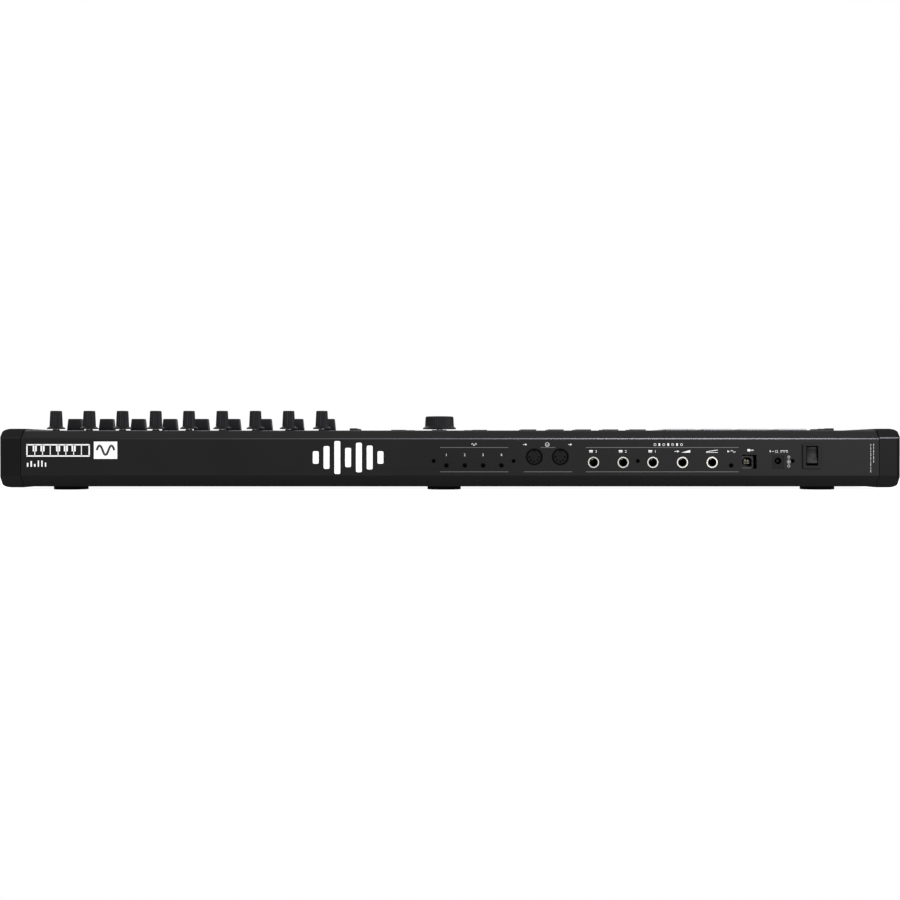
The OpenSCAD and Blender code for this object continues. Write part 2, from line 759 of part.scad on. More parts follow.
module usb_socket() {
    face = rear_y - usb_inset;
    x = usb_x + 0.7;
    color("#b9bcc2") translate([x, 0, usb_z]) difference() {
        block([-6, face - 14, jack_board_top - usb_z], [6, face, 5.3]);
        difference() {
            along_y(face - 11, face + 5) polygon([
                [-4.25, -4.3], [4.25, -4.3], [4.25, 2], [2.6, 4], [-2.6, 4], [-4.25, 2]]);
            block([-2.8, face - 20, -1.6], [2.8, face - 1.2, 1.5]);
        }
    }
}

module power_socket() {
    face = rear_y - 0.3;
    z = dc_bore_z - dc_z;
    color("#1b1b1d") translate([dc_x, 0, dc_z]) difference() {
        block([-dc_size[0] / 2, rear_y - 14, jack_board_top - dc_z + 0.1],
              [dc_size[0] / 2, face, dc_size[1] / 2]);
        difference() {
            rod_y(0, z, 3, face - 10, face + 5);
            rod_y(0, z, 1, face - 20, face - 1.5);
        }
    }
}

module power_switch_housing() {
    color("#161617") translate([switch_x, 0, switch_z]) difference() {
        union() {
            block([-switch_bezel[0] / 2, rear_y, -switch_bezel[1] / 2],
                  [switch_bezel[0] / 2, rear_y + switch_proud, switch_bezel[1] / 2]);
            block([-switch_hole[0] / 2 + 0.2, rear_y - 14, -switch_hole[1] / 2 + 0.2],
                  [switch_hole[0] / 2 - 0.2, rear_y + eps, switch_hole[1] / 2 - 0.2]);
        }
        translate([0, 0, rocker_z - switch_z])
            block([-rocker_gap[0], rear_y - 12, -rocker_gap[1]], [rocker_gap[0], rear_y + 5, rocker_gap[1]]);
    }
}

// The rocker, a shallow V in side view, stored with its lower end out. It tips on two short pins.
module power_rocker() {
    w = rocker_w / 2;
    pin_r = 1.2;
    pin_l = 0.3;
    color("#2a2a2d") translate([switch_x, rocker_pivot_y, rocker_z]) rotate([rocker_tilt, 0, 0]) union() {
        along_x(-w, w) polygon([
            [-3, -3], [-3, 3], [2, rocker_half], [rocker_depth, rocker_half], [rocker_depth - 1.6, 0],
            [rocker_depth, -rocker_half], [2, -rocker_half]]);
        rod_x(0, 0, pin_r, -w - pin_l, w + pin_l);
    }
}

// ---------- feet and fasteners ----------

module case_screws() {
    color("#0c0c0d") {
        for (x = rear_screw_x) translate([x, 0, rear_screw_z]) union() {
            rod_y(0, 0, 1.7, rear_y, rear_y + 0.6);
            rod_y(0, 0, 1, rear_y - 6, rear_y + 0.3);
        }
        for (x = base_screw_x, y = base_screw_y) translate([x, y, 0]) union() {
            translate([0, 0, tray_z - 1.4]) cylinder(h = 1.4, r = 2.8);
            translate([0, 0, tray_z - 0.2]) cylinder(h = 7, r = 1.45);
        }
    }
}

module feet() {
    color("#0d0d0e") for (x = foot_x, y = foot_y) translate([x, y, 0]) rotate_extrude()
        polygon([[0, 0], [foot_r - 0.6, 0], [foot_r, 0.6], [foot_r, tray_z], [0, tray_z]]);
}

// ---------- the assembly ----------

top_panel();
rear_panel();
base_tray();
mirror([1, 0, 0]) end_cap();  // left_end_cap
end_cap();  // right_end_cap
wheel_deck();
pad_frame();
display_window();
display_module();
circuit_boards();
rotary_encoders();
fader_tracks();
key_frame();
key_axle();
key_springs();
contact_domes();
midi_sockets();
jack_sockets();
mini_jack_sockets();
usb_socket();
power_socket();
power_switch_housing();
power_rocker();
case_screws();
feet();
for (k = [0:6]) white_keys(k);
black_keys([1, 6, 10]);  // c_f_a_sharp_keys
black_keys([3, 8]);  // d_g_sharp_keys
for (i = [1:columns]) {
    knob(i);
    fader(i);
}
main_knob();
main_knob_shaft();
wheel(pitch_x, 0);  // pitch_wheel
wheel(mod_x, 40);  // mod_wheel
drum_pads();
soft_buttons(command_buttons);
soft_buttons(select_buttons);
small_buttons();
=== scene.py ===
"""Looks of a forty-nine-key keyboard controller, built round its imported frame."""

import json
import math

import bmesh
import bpy
from mathutils import Matrix, Vector


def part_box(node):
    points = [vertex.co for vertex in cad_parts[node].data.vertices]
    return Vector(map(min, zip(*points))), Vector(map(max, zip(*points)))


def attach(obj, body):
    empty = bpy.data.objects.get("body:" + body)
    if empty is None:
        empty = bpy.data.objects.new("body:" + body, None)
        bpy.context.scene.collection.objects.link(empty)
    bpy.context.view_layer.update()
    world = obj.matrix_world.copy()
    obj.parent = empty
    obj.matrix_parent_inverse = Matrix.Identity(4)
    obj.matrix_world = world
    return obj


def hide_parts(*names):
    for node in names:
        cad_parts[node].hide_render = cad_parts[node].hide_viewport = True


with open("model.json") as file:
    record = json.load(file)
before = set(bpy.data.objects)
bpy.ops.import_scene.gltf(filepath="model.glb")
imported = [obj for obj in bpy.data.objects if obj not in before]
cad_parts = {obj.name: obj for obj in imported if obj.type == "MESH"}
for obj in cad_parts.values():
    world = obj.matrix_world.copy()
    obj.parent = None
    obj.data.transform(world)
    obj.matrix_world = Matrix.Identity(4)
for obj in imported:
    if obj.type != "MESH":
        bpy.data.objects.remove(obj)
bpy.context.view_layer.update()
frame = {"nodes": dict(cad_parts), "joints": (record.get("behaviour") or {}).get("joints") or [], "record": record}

MM = 0.001
record = frame["record"]
joints = {j["name"]: j for j in frame["joints"]}
COLUMNS = range(1, 10)
WHITE_KEYS = [f"{note}_keys" for note in "cdefgab"]
BLACK_KEYS = ["c_f_a_sharp_keys", "d_g_sharp_keys"]


# ---------- places, all from the frame ----------


def low(node):
    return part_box(node)[0] / MM


def high(node):
    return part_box(node)[1] / MM


def middle(node):
    return (low(node) + high(node)) / 2


def mounts(prefix):
    """Places of the mounts whose names start so, in millimetres."""
    return [Vector(m["pos_m"]) / MM for m in record["mounts"] if m["name"].startswith(prefix)]


panel_z = high("top_panel").z
rear_y = high("rear_panel").y
knob_y = middle("knob_1").y
fader_y = middle("fader_1").y
# The rear panel's upper edge is a narrow slanting lip, and the end caps' lips lie a little higher
lip_top, lip_height, lip_depth, cap_lip_rise = high("rear_panel").z, 1.0, 0.5, 0.7


# ---------- meshes ----------


def piece(name, mesh, body, slot, *materials):
    """A new object of the mesh that rides on a body, with the given materials. slot is not used."""
    obj = bpy.data.objects.new(name, mesh)
    bpy.context.scene.collection.objects.link(obj)
    for material in materials:
        mesh.materials.append(material)
    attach(obj, body)
    return obj


def finished(bm, name, angle=35):
    """Turns a bmesh into a mesh in metres, smooth except at edges sharper than the angle."""
    bmesh.ops.recalc_face_normals(bm, faces=bm.faces)
    bm.transform(Matrix.Scale(MM, 4))
    mesh = bpy.data.meshes.new(name)
    bm.to_mesh(mesh)
    bm.free()
    mesh.shade_smooth()
    mesh.set_sharp_from_angle(angle=math.radians(angle))
    return mesh


def loft(bm, loops, material=0):
    """Joins closed loops of points, each as long as the last, and closes both ends."""
    rings = [[bm.verts.new(p) for p in loop] for loop in loops]
    faces = [bm.faces.new(list(reversed(rings[0]))), bm.faces.new(rings[-1])]
    for a, b in zip(rings, rings[1:]):
        for i in range(len(a)):
            j = (i + 1) % len(a)
            faces.append(bm.faces.new((a[i], a[j], b[j], b[i])))
    for face in faces:
        face.material_index = material


def round_rect(width, depth, radius, z, centre=(0, 0), steps=5):
    """Points of a flat rectangle with round corners, at height z."""
    points = []
    for quarter, (sx, sy) in enumerate(((1, 1), (-1, 1), (-1, -1), (1, -1))):
        for step in range(steps + 1):
            angle = math.radians(90 * (quarter + step / steps))
            points.append(Vector((
                centre[0] + sx * (width / 2 - radius) + radius * math.cos(angle),
                centre[1] + sy * (depth / 2 - radius) + radius * math.sin(angle), z)))
    return points


def ring(radius, z, steps, shape=None):
    """Points of a level circle. shape gives a factor for the radius at each angle."""
    points = []
    for step in range(steps):
        angle = 2 * math.pi * step / steps
        r = radius * (shape(angle) if shape else 1)
        points.append(Vector((r * math.cos(angle), r * math.sin(angle), z)))
    return points


def turned(bm, profile, steps, shape=None):
    """A solid turned about Z from (radius, z, share of the shape) points, bottom to top."""
    loops = []
    for radius, z, share in profile:
        def factor(angle, share=share):
            return 1 + share * (shape(angle) - 1)
        loops.append(ring(radius, z, steps, factor if shape and share else None))
    loft(bm, loops)


def block(bm, corner, size, material=0):
    """A plain block from its lowest corner, for small metal parts."""
    x, y, z = corner
    w, d, h = size
    base = [Vector((x, y, z)), Vector((x + w, y, z)), Vector((x + w, y + d, z)), Vector((x, y + d, z))]
    loft(bm, [base, [p + Vector((0, 0, h)) for p in base]], material)


# ---------- printed marks ----------

REAR = Matrix(((-1, 0, 0, 0), (0, 0, 1, 0), (0, 1, 0, 0), (0, 0, 0, 1)))
INK_ROOT = 0.02  # How far ink reaches below its face
DIGIT_SHARE = 0.72  # A digit's height as a share of its type size


def spoke(angle):
    """A unit vector on a flat face, turned by an angle from its first axis."""
    return Vector((math.cos(angle), math.sin(angle)))


class Print:
    """Ink on a flat face. Marks are drawn in millimetres, to the right and up as they are read."""

    def __init__(self, thickness=0.05):
        self.bm = bmesh.new()
        self.thickness = thickness

    def shape(self, points):
        bottom = [Vector((p[0], p[1], -INK_ROOT)) for p in points]
        loft(self.bm, [bottom, [p + Vector((0, 0, self.thickness + INK_ROOT)) for p in bottom]])

    def line(self, a, b, width=0.4):
        a, b = Vector(a), Vector(b)
        side = (b - a).normalized().orthogonal() * width / 2
        self.shape([a - side, b - side, b + side, a + side])

    def path(self, points, width=0.4):
        for a, b in zip(points, points[1:]):
            self.line(a, b, width)

    def disc(self, centre, radius, steps=20):
        c = Vector(centre)
        self.shape([c + radius * spoke(2 * math.pi * i / steps) for i in range(steps)])

    def arc(self, centre, radius, width=0.4, start=0, end=360, steps=24):
        """A band of a circle, in halves so that each outline stays simple."""
        c = Vector(centre)
        for a0, a1 in ((start, (start + end) / 2), ((start + end) / 2, end)):
            angles = [math.radians(a0 + (a1 - a0) * i / steps) for i in range(steps + 1)]
            outer = [c + (radius + width / 2) * spoke(a) for a in angles]
            inner = [c + (radius - width / 2) * spoke(a) for a in angles]
            self.shape(outer + inner[::-1])

    def bar(self, centre, width, height, radius):
        """An upright rectangle with round corners."""
        self.shape(round_rect(width, height, radius, 0, centre))

    def arrow(self, centre, size, angle=0):
        """A solid triangle. At angle 0 it points right."""
        c, turn = Vector(centre), Matrix.Rotation(math.radians(angle), 2)
        self.shape([c + turn @ Vector(p) * size for p in ((-0.45, -0.5), (0.5, 0), (-0.45, 0.5))])

    def wave(self, centre, width, height, turns=1.5, line=0.4, steps=28):
        points = []
        for i in range(steps + 1):
            t = i / steps
            points.append(Vector((centre[0] + (t - 0.5) * width,
                                  centre[1] + height / 2 * math.sin(2 * math.pi * turns * t))))
        self.path(points, line)

    def number(self, value, centre, height):
        curve = bpy.data.curves.new("number", "FONT")
        curve.body = str(value)
        curve.size = height / DIGIT_SHARE
        curve.extrude = self.thickness / 2
        curve.resolution_u = 3
        curve.align_x = "CENTER"
        holder = bpy.data.objects.new("number", curve)
        bpy.context.scene.collection.objects.link(holder)
        flat = bpy.data.meshes.new_from_object(holder.evaluated_get(bpy.context.evaluated_depsgraph_get()))
        bpy.data.objects.remove(holder)
        bpy.data.curves.remove(curve)
        place = Vector((centre[0], centre[1] - height / 2, self.thickness / 2))
        flat.transform(Matrix.Translation(place))
        self.bm.from_mesh(flat)
        bpy.data.meshes.remove(flat)

    def done(self, name, plane, body, slot, material):
        """Lays the print on its plane. plane takes drawn points to the frame, in millimetres."""
        bmesh.ops.remove_doubles(self.bm, verts=self.bm.verts, dist=1e-5)
        self.bm.transform(plane)
        return piece(name, finished(self.bm, name), body, slot, material)


def rear_plane(y):
    return Matrix.Translation((0, y, 0)) @ REAR


def level_plane(z):
    return Matrix.Translation((0, 0, z))


# ---------- materials ----------


def tinted(colour, factor):
    return [min(1.0, c * factor) for c in colour] + [1.0]


NOISE_REACH = (0.3, 0.7)  # Where most of a noise's values lie


class Finish:
    """A surface with a slow drift of colour, a grain in its gloss and relief, and optional worn edges."""

    def __init__(self, name, colour, roughness, spread=0.12, drift=25, grain=1500, relief=0.02,
                 gloss_spread=0.06, stretch=(1, 1, 1), **sockets):
        self.material = bpy.data.materials.new(name)
        self.material.use_nodes = True
        self.tree = self.material.node_tree
        self.shader = self.tree.nodes["Principled BSDF"]
        self.place = self.add("ShaderNodeTexCoord").outputs["Object"]
        mapping = self.add("ShaderNodeMapping")
        mapping.inputs["Scale"].default_value = stretch
        self.link(self.place, mapping.inputs["Vector"])
        cloud = self.noise(drift, 5, self.place)
        ramp = self.add("ShaderNodeValToRGB")
        for end, reach, factor in zip(ramp.color_ramp.elements, NOISE_REACH, (1 - spread, 1 + spread)):
            end.position, end.color = reach, tinted(colour, factor)
        self.link(cloud, ramp.inputs["Fac"])
        self.colour = ramp.outputs["Color"]
        grains = self.noise(grain, 3, mapping.outputs["Vector"])
        both = self.sums("MULTIPLY", self.sums("ADD", cloud, grains), 0.5)
        self.gloss = self.spanned(both, NOISE_REACH, (roughness - gloss_spread, roughness + gloss_spread))
        bump = self.add("ShaderNodeBump")
        bump.inputs["Distance"].default_value = relief * MM
        bump.inputs["Strength"].default_value = 0.6
        self.link(grains, bump.inputs["Height"])
        self.link(bump.outputs["Normal"], self.shader.inputs["Normal"])
        for socket, value in sockets.items():
            self.shader.inputs[socket.replace("_", " ")].default_value = value

    def add(self, kind):
        return self.tree.nodes.new(kind)

    def link(self, start, end):
        self.tree.links.new(start, end)

    def noise(self, scale, detail, place):
        node = self.add("ShaderNodeTexNoise")
        node.inputs["Scale"].default_value = scale
        node.inputs["Detail"].default_value = detail
        self.link(place, node.inputs["Vector"])
        return node.outputs["Fac"]

    def sums(self, operation, *values):
        """A sum, a product or a comparison of sockets and plain numbers."""
        node = self.add("ShaderNodeMath")
        node.operation = operation
        for socket, value in zip(node.inputs, values):
            if isinstance(value, (int, float)):
                socket.default_value = value
            else:
                self.link(value, socket)
        return node.outputs[0]

    def mixed(self, share, start, end):
        """Blends two colours or two numbers, each a socket or a plain value."""
        node = self.add("ShaderNodeMix")
        if isinstance(start, bpy.types.NodeSocket):
            colours = start.type == "RGBA"
        else:
            colours = isinstance(start, tuple)
        node.data_type, first, result = ("RGBA", 6, 2) if colours else ("FLOAT", 2, 0)
        self.link(share, node.inputs[0])
        for socket, value in zip(node.inputs[first:], (start, end)):
            if isinstance(value, bpy.types.NodeSocket):
                self.link(value, socket)
            else:
                socket.default_value = value
        return node.outputs[result]

    def spanned(self, value, span, result=(0.0, 1.0)):
        """Carries a value's span over to the result's span, and stops at its ends."""
        node = self.add("ShaderNodeMapRange")
        for name, number in zip(("From Min", "From Max", "To Min", "To Max"), (*span, *result)):
            node.inputs[name].default_value = number
        self.link(value, node.inputs["Value"])
        return node.outputs["Result"]

    def along(self, axis):
        """A place's value on an axis, in metres."""
        split = self.add("ShaderNodeSeparateXYZ")
        self.link(self.place, split.inputs[0])
        return split.outputs[axis]

    def within(self, axis, start, end):
        """1 where a place lies between two values of an axis, in millimetres, and 0 elsewhere."""
        value = self.along(axis)
        above = self.sums("GREATER_THAN", value, start * MM)
        return self.sums("MULTIPLY", above, self.sums("LESS_THAN", value, end * MM))

    def shaded(self, axis, start, end, colour):
        """Paints light or shade as a drift to another colour as a place goes from one value of an axis to another,
        in millimetres.
        """
        share = self.spanned(self.along(axis), (start * MM, end * MM))
        self.colour = self.mixed(share, self.colour, tinted(colour, 1))
        return self

    def burnished(self, top):
        """Makes the lip under the rear chamfer glossy and metallic, so it catches the lamps, and paints a
        highlight on it that fades toward the knobs' end. top is its upper edge.
        """
        roughness, faint_highlight, bright_highlight = 0.34, (0.022, 0.022, 0.024, 1), (0.079, 0.079, 0.086)
        faint_highlight_x, bright_highlight_x = 350, 44
        lip = self.sums("MULTIPLY", self.within(2, top - lip_height, top + 0.05),
                        self.within(1, rear_y - lip_depth - 0.1, rear_y + 1))
        # The lip's colour is a painted highlight: faint at the knobs' end, bright toward the wheels' end
        plain, self.colour = self.colour, faint_highlight
        self.shaded(0, faint_highlight_x, bright_highlight_x, bright_highlight)
        self.colour = self.mixed(lip, plain, self.colour)
        self.gloss = self.mixed(lip, self.gloss, roughness)
        self.link(lip, self.shader.inputs["Metallic"])
        return self

    def worn(self, colour, reach, amount):
        """Rubs the edges lighter, in patches."""
        bevel = self.add("ShaderNodeBevel")
        bevel.samples = 4
        bevel.inputs["Radius"].default_value = reach * MM
        flat = self.add("ShaderNodeNewGeometry")
        dot = self.add("ShaderNodeVectorMath")
        dot.operation = "DOT_PRODUCT"
        self.link(bevel.outputs["Normal"], dot.inputs[0])
        self.link(flat.outputs["Normal"], dot.inputs[1])
        edge = self.spanned(dot.outputs["Value"], (0.995, 0.85), (0.0, amount))
        patch = self.sums("MULTIPLY", edge, self.noise(180, 4, self.place))
        self.colour = self.mixed(patch, self.colour, tinted(colour, 1))
        return self

    def sided(self):
        """Paints shade on the outermost band of the end at the wheels, between the chamfers."""
        band, colour = 3.0, (0.0012, 0.0012, 0.0013, 1)
        inner = self.within(0, low("left_end_cap").x + band, high("right_end_cap").x + 1)
        outer = self.sums("MULTIPLY", self.sums("SUBTRACT", 1.0, inner),
                          self.within(2, low("rear_panel").z - 3, lip_top + 4))
        self.colour = self.mixed(outer, self.colour, colour)
        return self

    def done(self):
        self.link(self.colour, self.shader.inputs["Base Color"])
        self.link(self.gloss, self.shader.inputs["Roughness"])
        return self.material


def panel_paint():
    """Fine-textured black powder coat on sheet metal."""
    finish = Finish("panel_paint", (0.0078, 0.0078, 0.0080), 0.42, spread=0.1, drift=14, grain=2600,
                    relief=0.02, Specular_IOR_Level=0.08)
    finish.worn((0.035, 0.035, 0.037), 0.3, 0.4)
    # A painted highlight on the rear lip, fainter toward the knobs' end
    return finish.burnished(lip_top).done()


def tray_paint():
    """The same coat on the bottom tray, flatter and darker, with painted shade that deepens toward its bottom."""
    finish = Finish("tray_paint", (0.0050, 0.0050, 0.0051), 0.55, spread=0.12, drift=12, grain=2200,
                    relief=0.02, Specular_IOR_Level=0.06)
    finish.worn((0.009, 0.009, 0.0095), 0.3, 0.3)
    # Painted shade: darker from the rear panel's lower edge down to the tray's bottom
    return finish.shaded(2, low("rear_panel").z, low("base_tray").z, (0.0026, 0.0026, 0.0026)).done()


def cap_plastic():
    """Spark-eroded grain on a black moulding, with painted shade on its outer side and toward its foot, and a
    painted highlight on its lip.
    """
    finish = Finish("cap_plastic", (0.0045, 0.0045, 0.0048), 0.45, spread=0.12, drift=30, grain=1300,
                    relief=0.03, Specular_IOR_Level=0.06)
    finish.worn((0.018, 0.018, 0.02), 0.5, 0.3)
    # Painted shade toward the foot
    finish.shaded(2, low("rear_panel").z + 2, low("base_tray").z, (0.0025, 0.0025, 0.0026))
    # Painted shade on the outer band at the wheels, and a painted highlight on the lip
    return finish.sided().burnished(lip_top + cap_lip_rise).done()


def black_key_plastic():
    return Finish("black_key_plastic", (0.007, 0.007, 0.0075), 0.34, spread=0.15, drift=30, grain=1700,
                  relief=0.015, Specular_IOR_Level=0.3).worn((0.03, 0.03, 0.032), 0.4, 0.4).done()


def knob_plastic():
    """Soft-touch coat with a slight blue cast."""
    return Finish("knob_plastic", (0.0052, 0.0054, 0.0068), 0.5, spread=0.15, drift=120, grain=2400,
                  relief=0.02, Specular_IOR_Level=0.15, Sheen_Weight=0.02,
                  Sheen_Roughness=0.4).worn((0.03, 0.031, 0.034), 0.25, 0.4).done()


def bright_metal():
    """Nickel plate on the rings of the large jacks. Their bores and bodies are black moulding."""
    finish = Finish("bright_metal", (0.40, 0.39, 0.365), 0.3, spread=0.08, drift=300, grain=1200,
                    relief=0.004, stretch=(1, 6, 1), Specular_IOR_Level=0.1)
    jacks = mounts("jack_")
    pitch = (jacks[0].x - jacks[-1].x) / (len(jacks) - 1)
    sideways = finish.sums("SUBTRACT", finish.along(0), jacks[0].x * MM)
    folded = finish.sums("PINGPONG", sideways, pitch * MM / 2)
    raised = finish.sums("SUBTRACT", finish.along(2), jacks[0].z * MM)
    squares = finish.sums("ADD", *(finish.sums("MULTIPLY", side, side) for side in (folded, raised)))
    bore = 3.9 * MM
    on_ring = finish.sums("GREATER_THAN", squares, bore * bore)
    plated = finish.sums("MULTIPLY", on_ring, finish.within(1, rear_y - 6, rear_y + 5))
    finish.colour = finish.mixed(plated, (0.003, 0.003, 0.003, 1), finish.colour)
    finish.link(plated, finish.shader.inputs["Metallic"])
    return finish.done()


def switch_plastic():
    """Rocker moulding, with painted light that makes it lighter toward its raised lower end."""
    return Finish("switch_plastic", (0.0035, 0.0035, 0.0038), 0.42, spread=0.1, drift=60, grain=1500,
                  relief=0.008, Specular_IOR_Level=0.12).shaded(2, 5.5, -7, (0.016, 0.016, 0.0172)).done()


def screw_black():
    return Finish("screw_black", (0.0008, 0.0008, 0.0008), 0.6, spread=0.3, drift=500, grain=2500,
                  relief=0.01, Specular_IOR_Level=0.0).worn((0.006, 0.006, 0.006), 0.15, 0.4).done()


def ink(name, colour):
    """Screen-printed ink with a slightly uneven film."""
    return Finish(name, colour, 0.6, spread=0.06, drift=400, grain=3000, relief=0.01,
                  Specular_IOR_Level=0.3).done()


def lit(name, colour, strength):
    """A lit part of a display or a button."""
    return Finish(name, colour, 0.5, spread=0.1, drift=500, grain=2000, relief=0.002,
                  Emission_Color=[*colour, 1], Emission_Strength=strength).done()


# For each: colour, roughness, spread, drift, grain, relief and the rest
PLAIN_FINISHES = {
    # Polished key plastic, a little warm, rubbed smooth by fingers
    "white_plastic": ((0.68, 0.67, 0.64), 0.26, 0.025, 18, 500, 0.0015, {
        "gloss_spread": 0.04, "Subsurface_Weight": 0.06, "Subsurface_Scale": 0.002,
        "Specular_IOR_Level": 0.5}),
    "button_rubber": ((0.014, 0.014, 0.0155), 0.62, 0.12, 90, 2000, 0.02, {"Specular_IOR_Level": 0.2}),
    # Pale silicone that lets a little light through
    "pad_rubber": ((0.30, 0.31, 0.33), 0.52, 0.05, 60, 1500, 0.03, {
        "Subsurface_Weight": 0.35, "Subsurface_Scale": 0.004, "Specular_IOR_Level": 0.4}),
    "steel": ((0.50, 0.51, 0.52), 0.34, 0.08, 120, 900, 0.006, {"stretch": (0.15, 1, 1), "Metallic": 1.0}),
    "gold_contact": ((0.78, 0.56, 0.24), 0.3, 0.08, 400, 1500, 0.004, {"Metallic": 1.0}),
    "socket_plastic": ((0.0035, 0.0035, 0.0038), 0.4, 0.2, 150, 1800, 0.015, {"Specular_IOR_Level": 0.08}),
    "housing_plastic": ((0.0052, 0.0052, 0.0055), 0.45, 0.12, 160, 1500, 0.015, {"Specular_IOR_Level": 0.1}),
    # Tin plate, its colour painted dark for the shade deep in its window
    "tin_in_painted_shade": ((0.036, 0.036, 0.038), 0.45, 0.15, 300, 1200, 0.006, {"Metallic": 1.0}),
    # Dark plating on the shafts' bushes and the fader tracks
    "black_zinc": ((0.012, 0.012, 0.013), 0.45, 0.2, 200, 1200, 0.006, {"Specular_IOR_Level": 0.2}),
    "board_laminate": ((0.02, 0.09, 0.05), 0.4, 0.2, 60, 900, 0.02, {}),
    "dark_moulding": ((0.03, 0.03, 0.033), 0.6, 0.15, 40, 1200, 0.04, {}),
    "foot_rubber": ((0.0014, 0.0014, 0.0015), 0.85, 0.25, 90, 1300, 0.05, {"Specular_IOR_Level": 0.02}),
    "spring_bronze": ((0.60, 0.42, 0.2), 0.35, 0.12, 200, 900, 0.006, {"Metallic": 1.0}),
    "screen_glass": ((0.75, 0.78, 0.82), 0.05, 0.1, 60, 300, 0.0005, {
        "gloss_spread": 0.02, "Transmission_Weight": 1.0, "Specular_IOR_Level": 0.5}),
}
WHITE, BUTTON, PAD, STEEL, GOLD, SOCKET, HOUSING, TIN, ZINC, BOARD, MOULDING, FOOT, BRONZE, GLASS = (
    Finish(name, *values, **rest).done() for name, (*values, rest) in PLAIN_FINISHES.items())
PANEL, TRAY, CAP, BLACK = panel_paint(), tray_paint(), cap_plastic(), black_key_plastic()
KNOB, NICKEL, SWITCH, SCREW = knob_plastic(), bright_metal(), switch_plastic(), screw_black()
WHITE_INK = ink("white_ink", (0.72, 0.72, 0.72))
LABEL_INK = ink("label_ink", (0.55, 0.55, 0.55))
FAINT_INK = ink("faint_ink", (0.32, 0.32, 0.32))
GREY_INK = ink("grey_ink", (0.085, 0.085, 0.085))
BLACK_INK = ink("black_ink", (0.012, 0.012, 0.012))
PANEL_INK = ink("panel_ink", (0.42, 0.42, 0.43))
SCREEN_LIGHT = lit("screen_light", (0.55, 0.75, 0.95), 1.2)
BUTTON_LIGHT = lit("button_light", (0.75, 0.75, 0.78), 0.35)


# ---------- CAD nodes that stay: finish and rounded edges ----------


def round_edges(node, width):
    """Rounds a CAD node's edges by a modifier, inside its own shape."""
    obj = frame["nodes"][node]
    weld = obj.modifiers.new("weld", "WELD")
    weld.merge_threshold = 0.002 * MM
    bevel = obj.modifiers.new("bevel", "BEVEL")
    bevel.width = width * MM
    bevel.segments = 3
    bevel.limit_method = "ANGLE"
    bevel.angle_limit = math.radians(40)
    bevel.harden_normals = True
    bevel.use_clamp_overlap = True
    bevel.miter_outer = "MITER_ARC"


def coat(material, *nodes):
    for node in nodes:
        obj = frame["nodes"][node]
        for slot in range(max(1, len(obj.material_slots))):
            if obj.material_slots:
                obj.material_slots[slot].material = material
            else:
                obj.data.materials.append(material)


coat(PANEL, "top_panel", "rear_panel")
coat(TRAY, "base_tray")
coat(CAP, "left_end_cap", "right_end_cap", "wheel_deck")
coat(KNOB, "pad_frame", *[f"fader_{i}" for i in COLUMNS], "pitch_wheel", "mod_wheel")
coat(GLASS, "display_window")
coat(BLACK_INK, "display_module")
coat(BOARD, "circuit_boards")
coat(STEEL, "key_axle", "main_knob_shaft")
coat(ZINC, "rotary_encoders", "fader_tracks")
coat(TIN, "usb_socket")
coat(MOULDING, "key_frame")
coat(BRONZE, "key_springs")
coat(BUTTON, "contact_domes", "command_buttons", "select_buttons", "small_buttons")
coat(SOCKET, "midi_sockets", "mini_jack_sockets", "power_socket")
coat(HOUSING, "power_switch_housing")
coat(NICKEL, "jack_sockets")
coat(WHITE, *WHITE_KEYS)
coat(BLACK, *BLACK_KEYS)
for node, width in {
    "left_end_cap": 0.5, "right_end_cap": 0.5, "wheel_deck": 0.6, "pad_frame": 0.1, "top_panel": 0.2,
    "rear_panel": 0.15, "base_tray": 0.1, "power_switch_housing": 0.4,
    "power_socket": 0.25, "midi_sockets": 0.2, "jack_sockets": 0.25, "usb_socket": 0.25,
    "display_window": 0.15, "command_buttons": 0.3, "select_buttons": 0.3, "small_buttons": 0.3,
    **dict.fromkeys(WHITE_KEYS, 0.45), **dict.fromkeys(BLACK_KEYS, 0.7),
}.items():
    round_edges(node, width)


# ---------- knobs ----------


def flutes(count, depth):
    """A factor for a radius that goes in and out round a grip, with rounded ribs."""
    def factor(angle):
        return 1 - depth * (0.5 - 0.5 * math.cos(count * angle)) ** 0.7
    return factor


def small_knob_mesh():
    """A skirt, a fluted grip that narrows upwards, a dished top and a pointer line."""
    bottom, top = panel_z + 1.5, high("knob_1").z
    skirt = (high("knob_1").x - low("knob_1").x) / 2
    shoulder, crown = skirt - 2.2, skirt - 2.85
    bm = bmesh.new()
    profile = [
        (3.4, bottom + 0.5, 0), (3.4, bottom, 0), (skirt - 0.2, bottom, 0), (skirt, bottom + 0.2, 0),
        (skirt, bottom + 0.9, 0), (skirt - 0.25, bottom + 1.15, 0), (skirt - 1.1, bottom + 1.6, 0),
        (shoulder + 0.1, bottom + 2.3, 0.2), (shoulder, bottom + 2.9, 1), (crown + 0.05, top - 1.1, 1),
        (crown - 0.05, top - 0.55, 0.8), (crown - 0.25, top - 0.15, 0.2), (crown - 0.6, top - 0.01, 0),
        (crown - 1.0, top - 0.15, 0), (0.6, top - 0.25, 0)]
    turned(bm, profile, 216, flutes(18, 0.09))
    block(bm, (-0.35, 1.2, top - 0.4), (0.7, crown - 2.0, 0.36), 1)
    return finished(bm, "small_knob", 30)


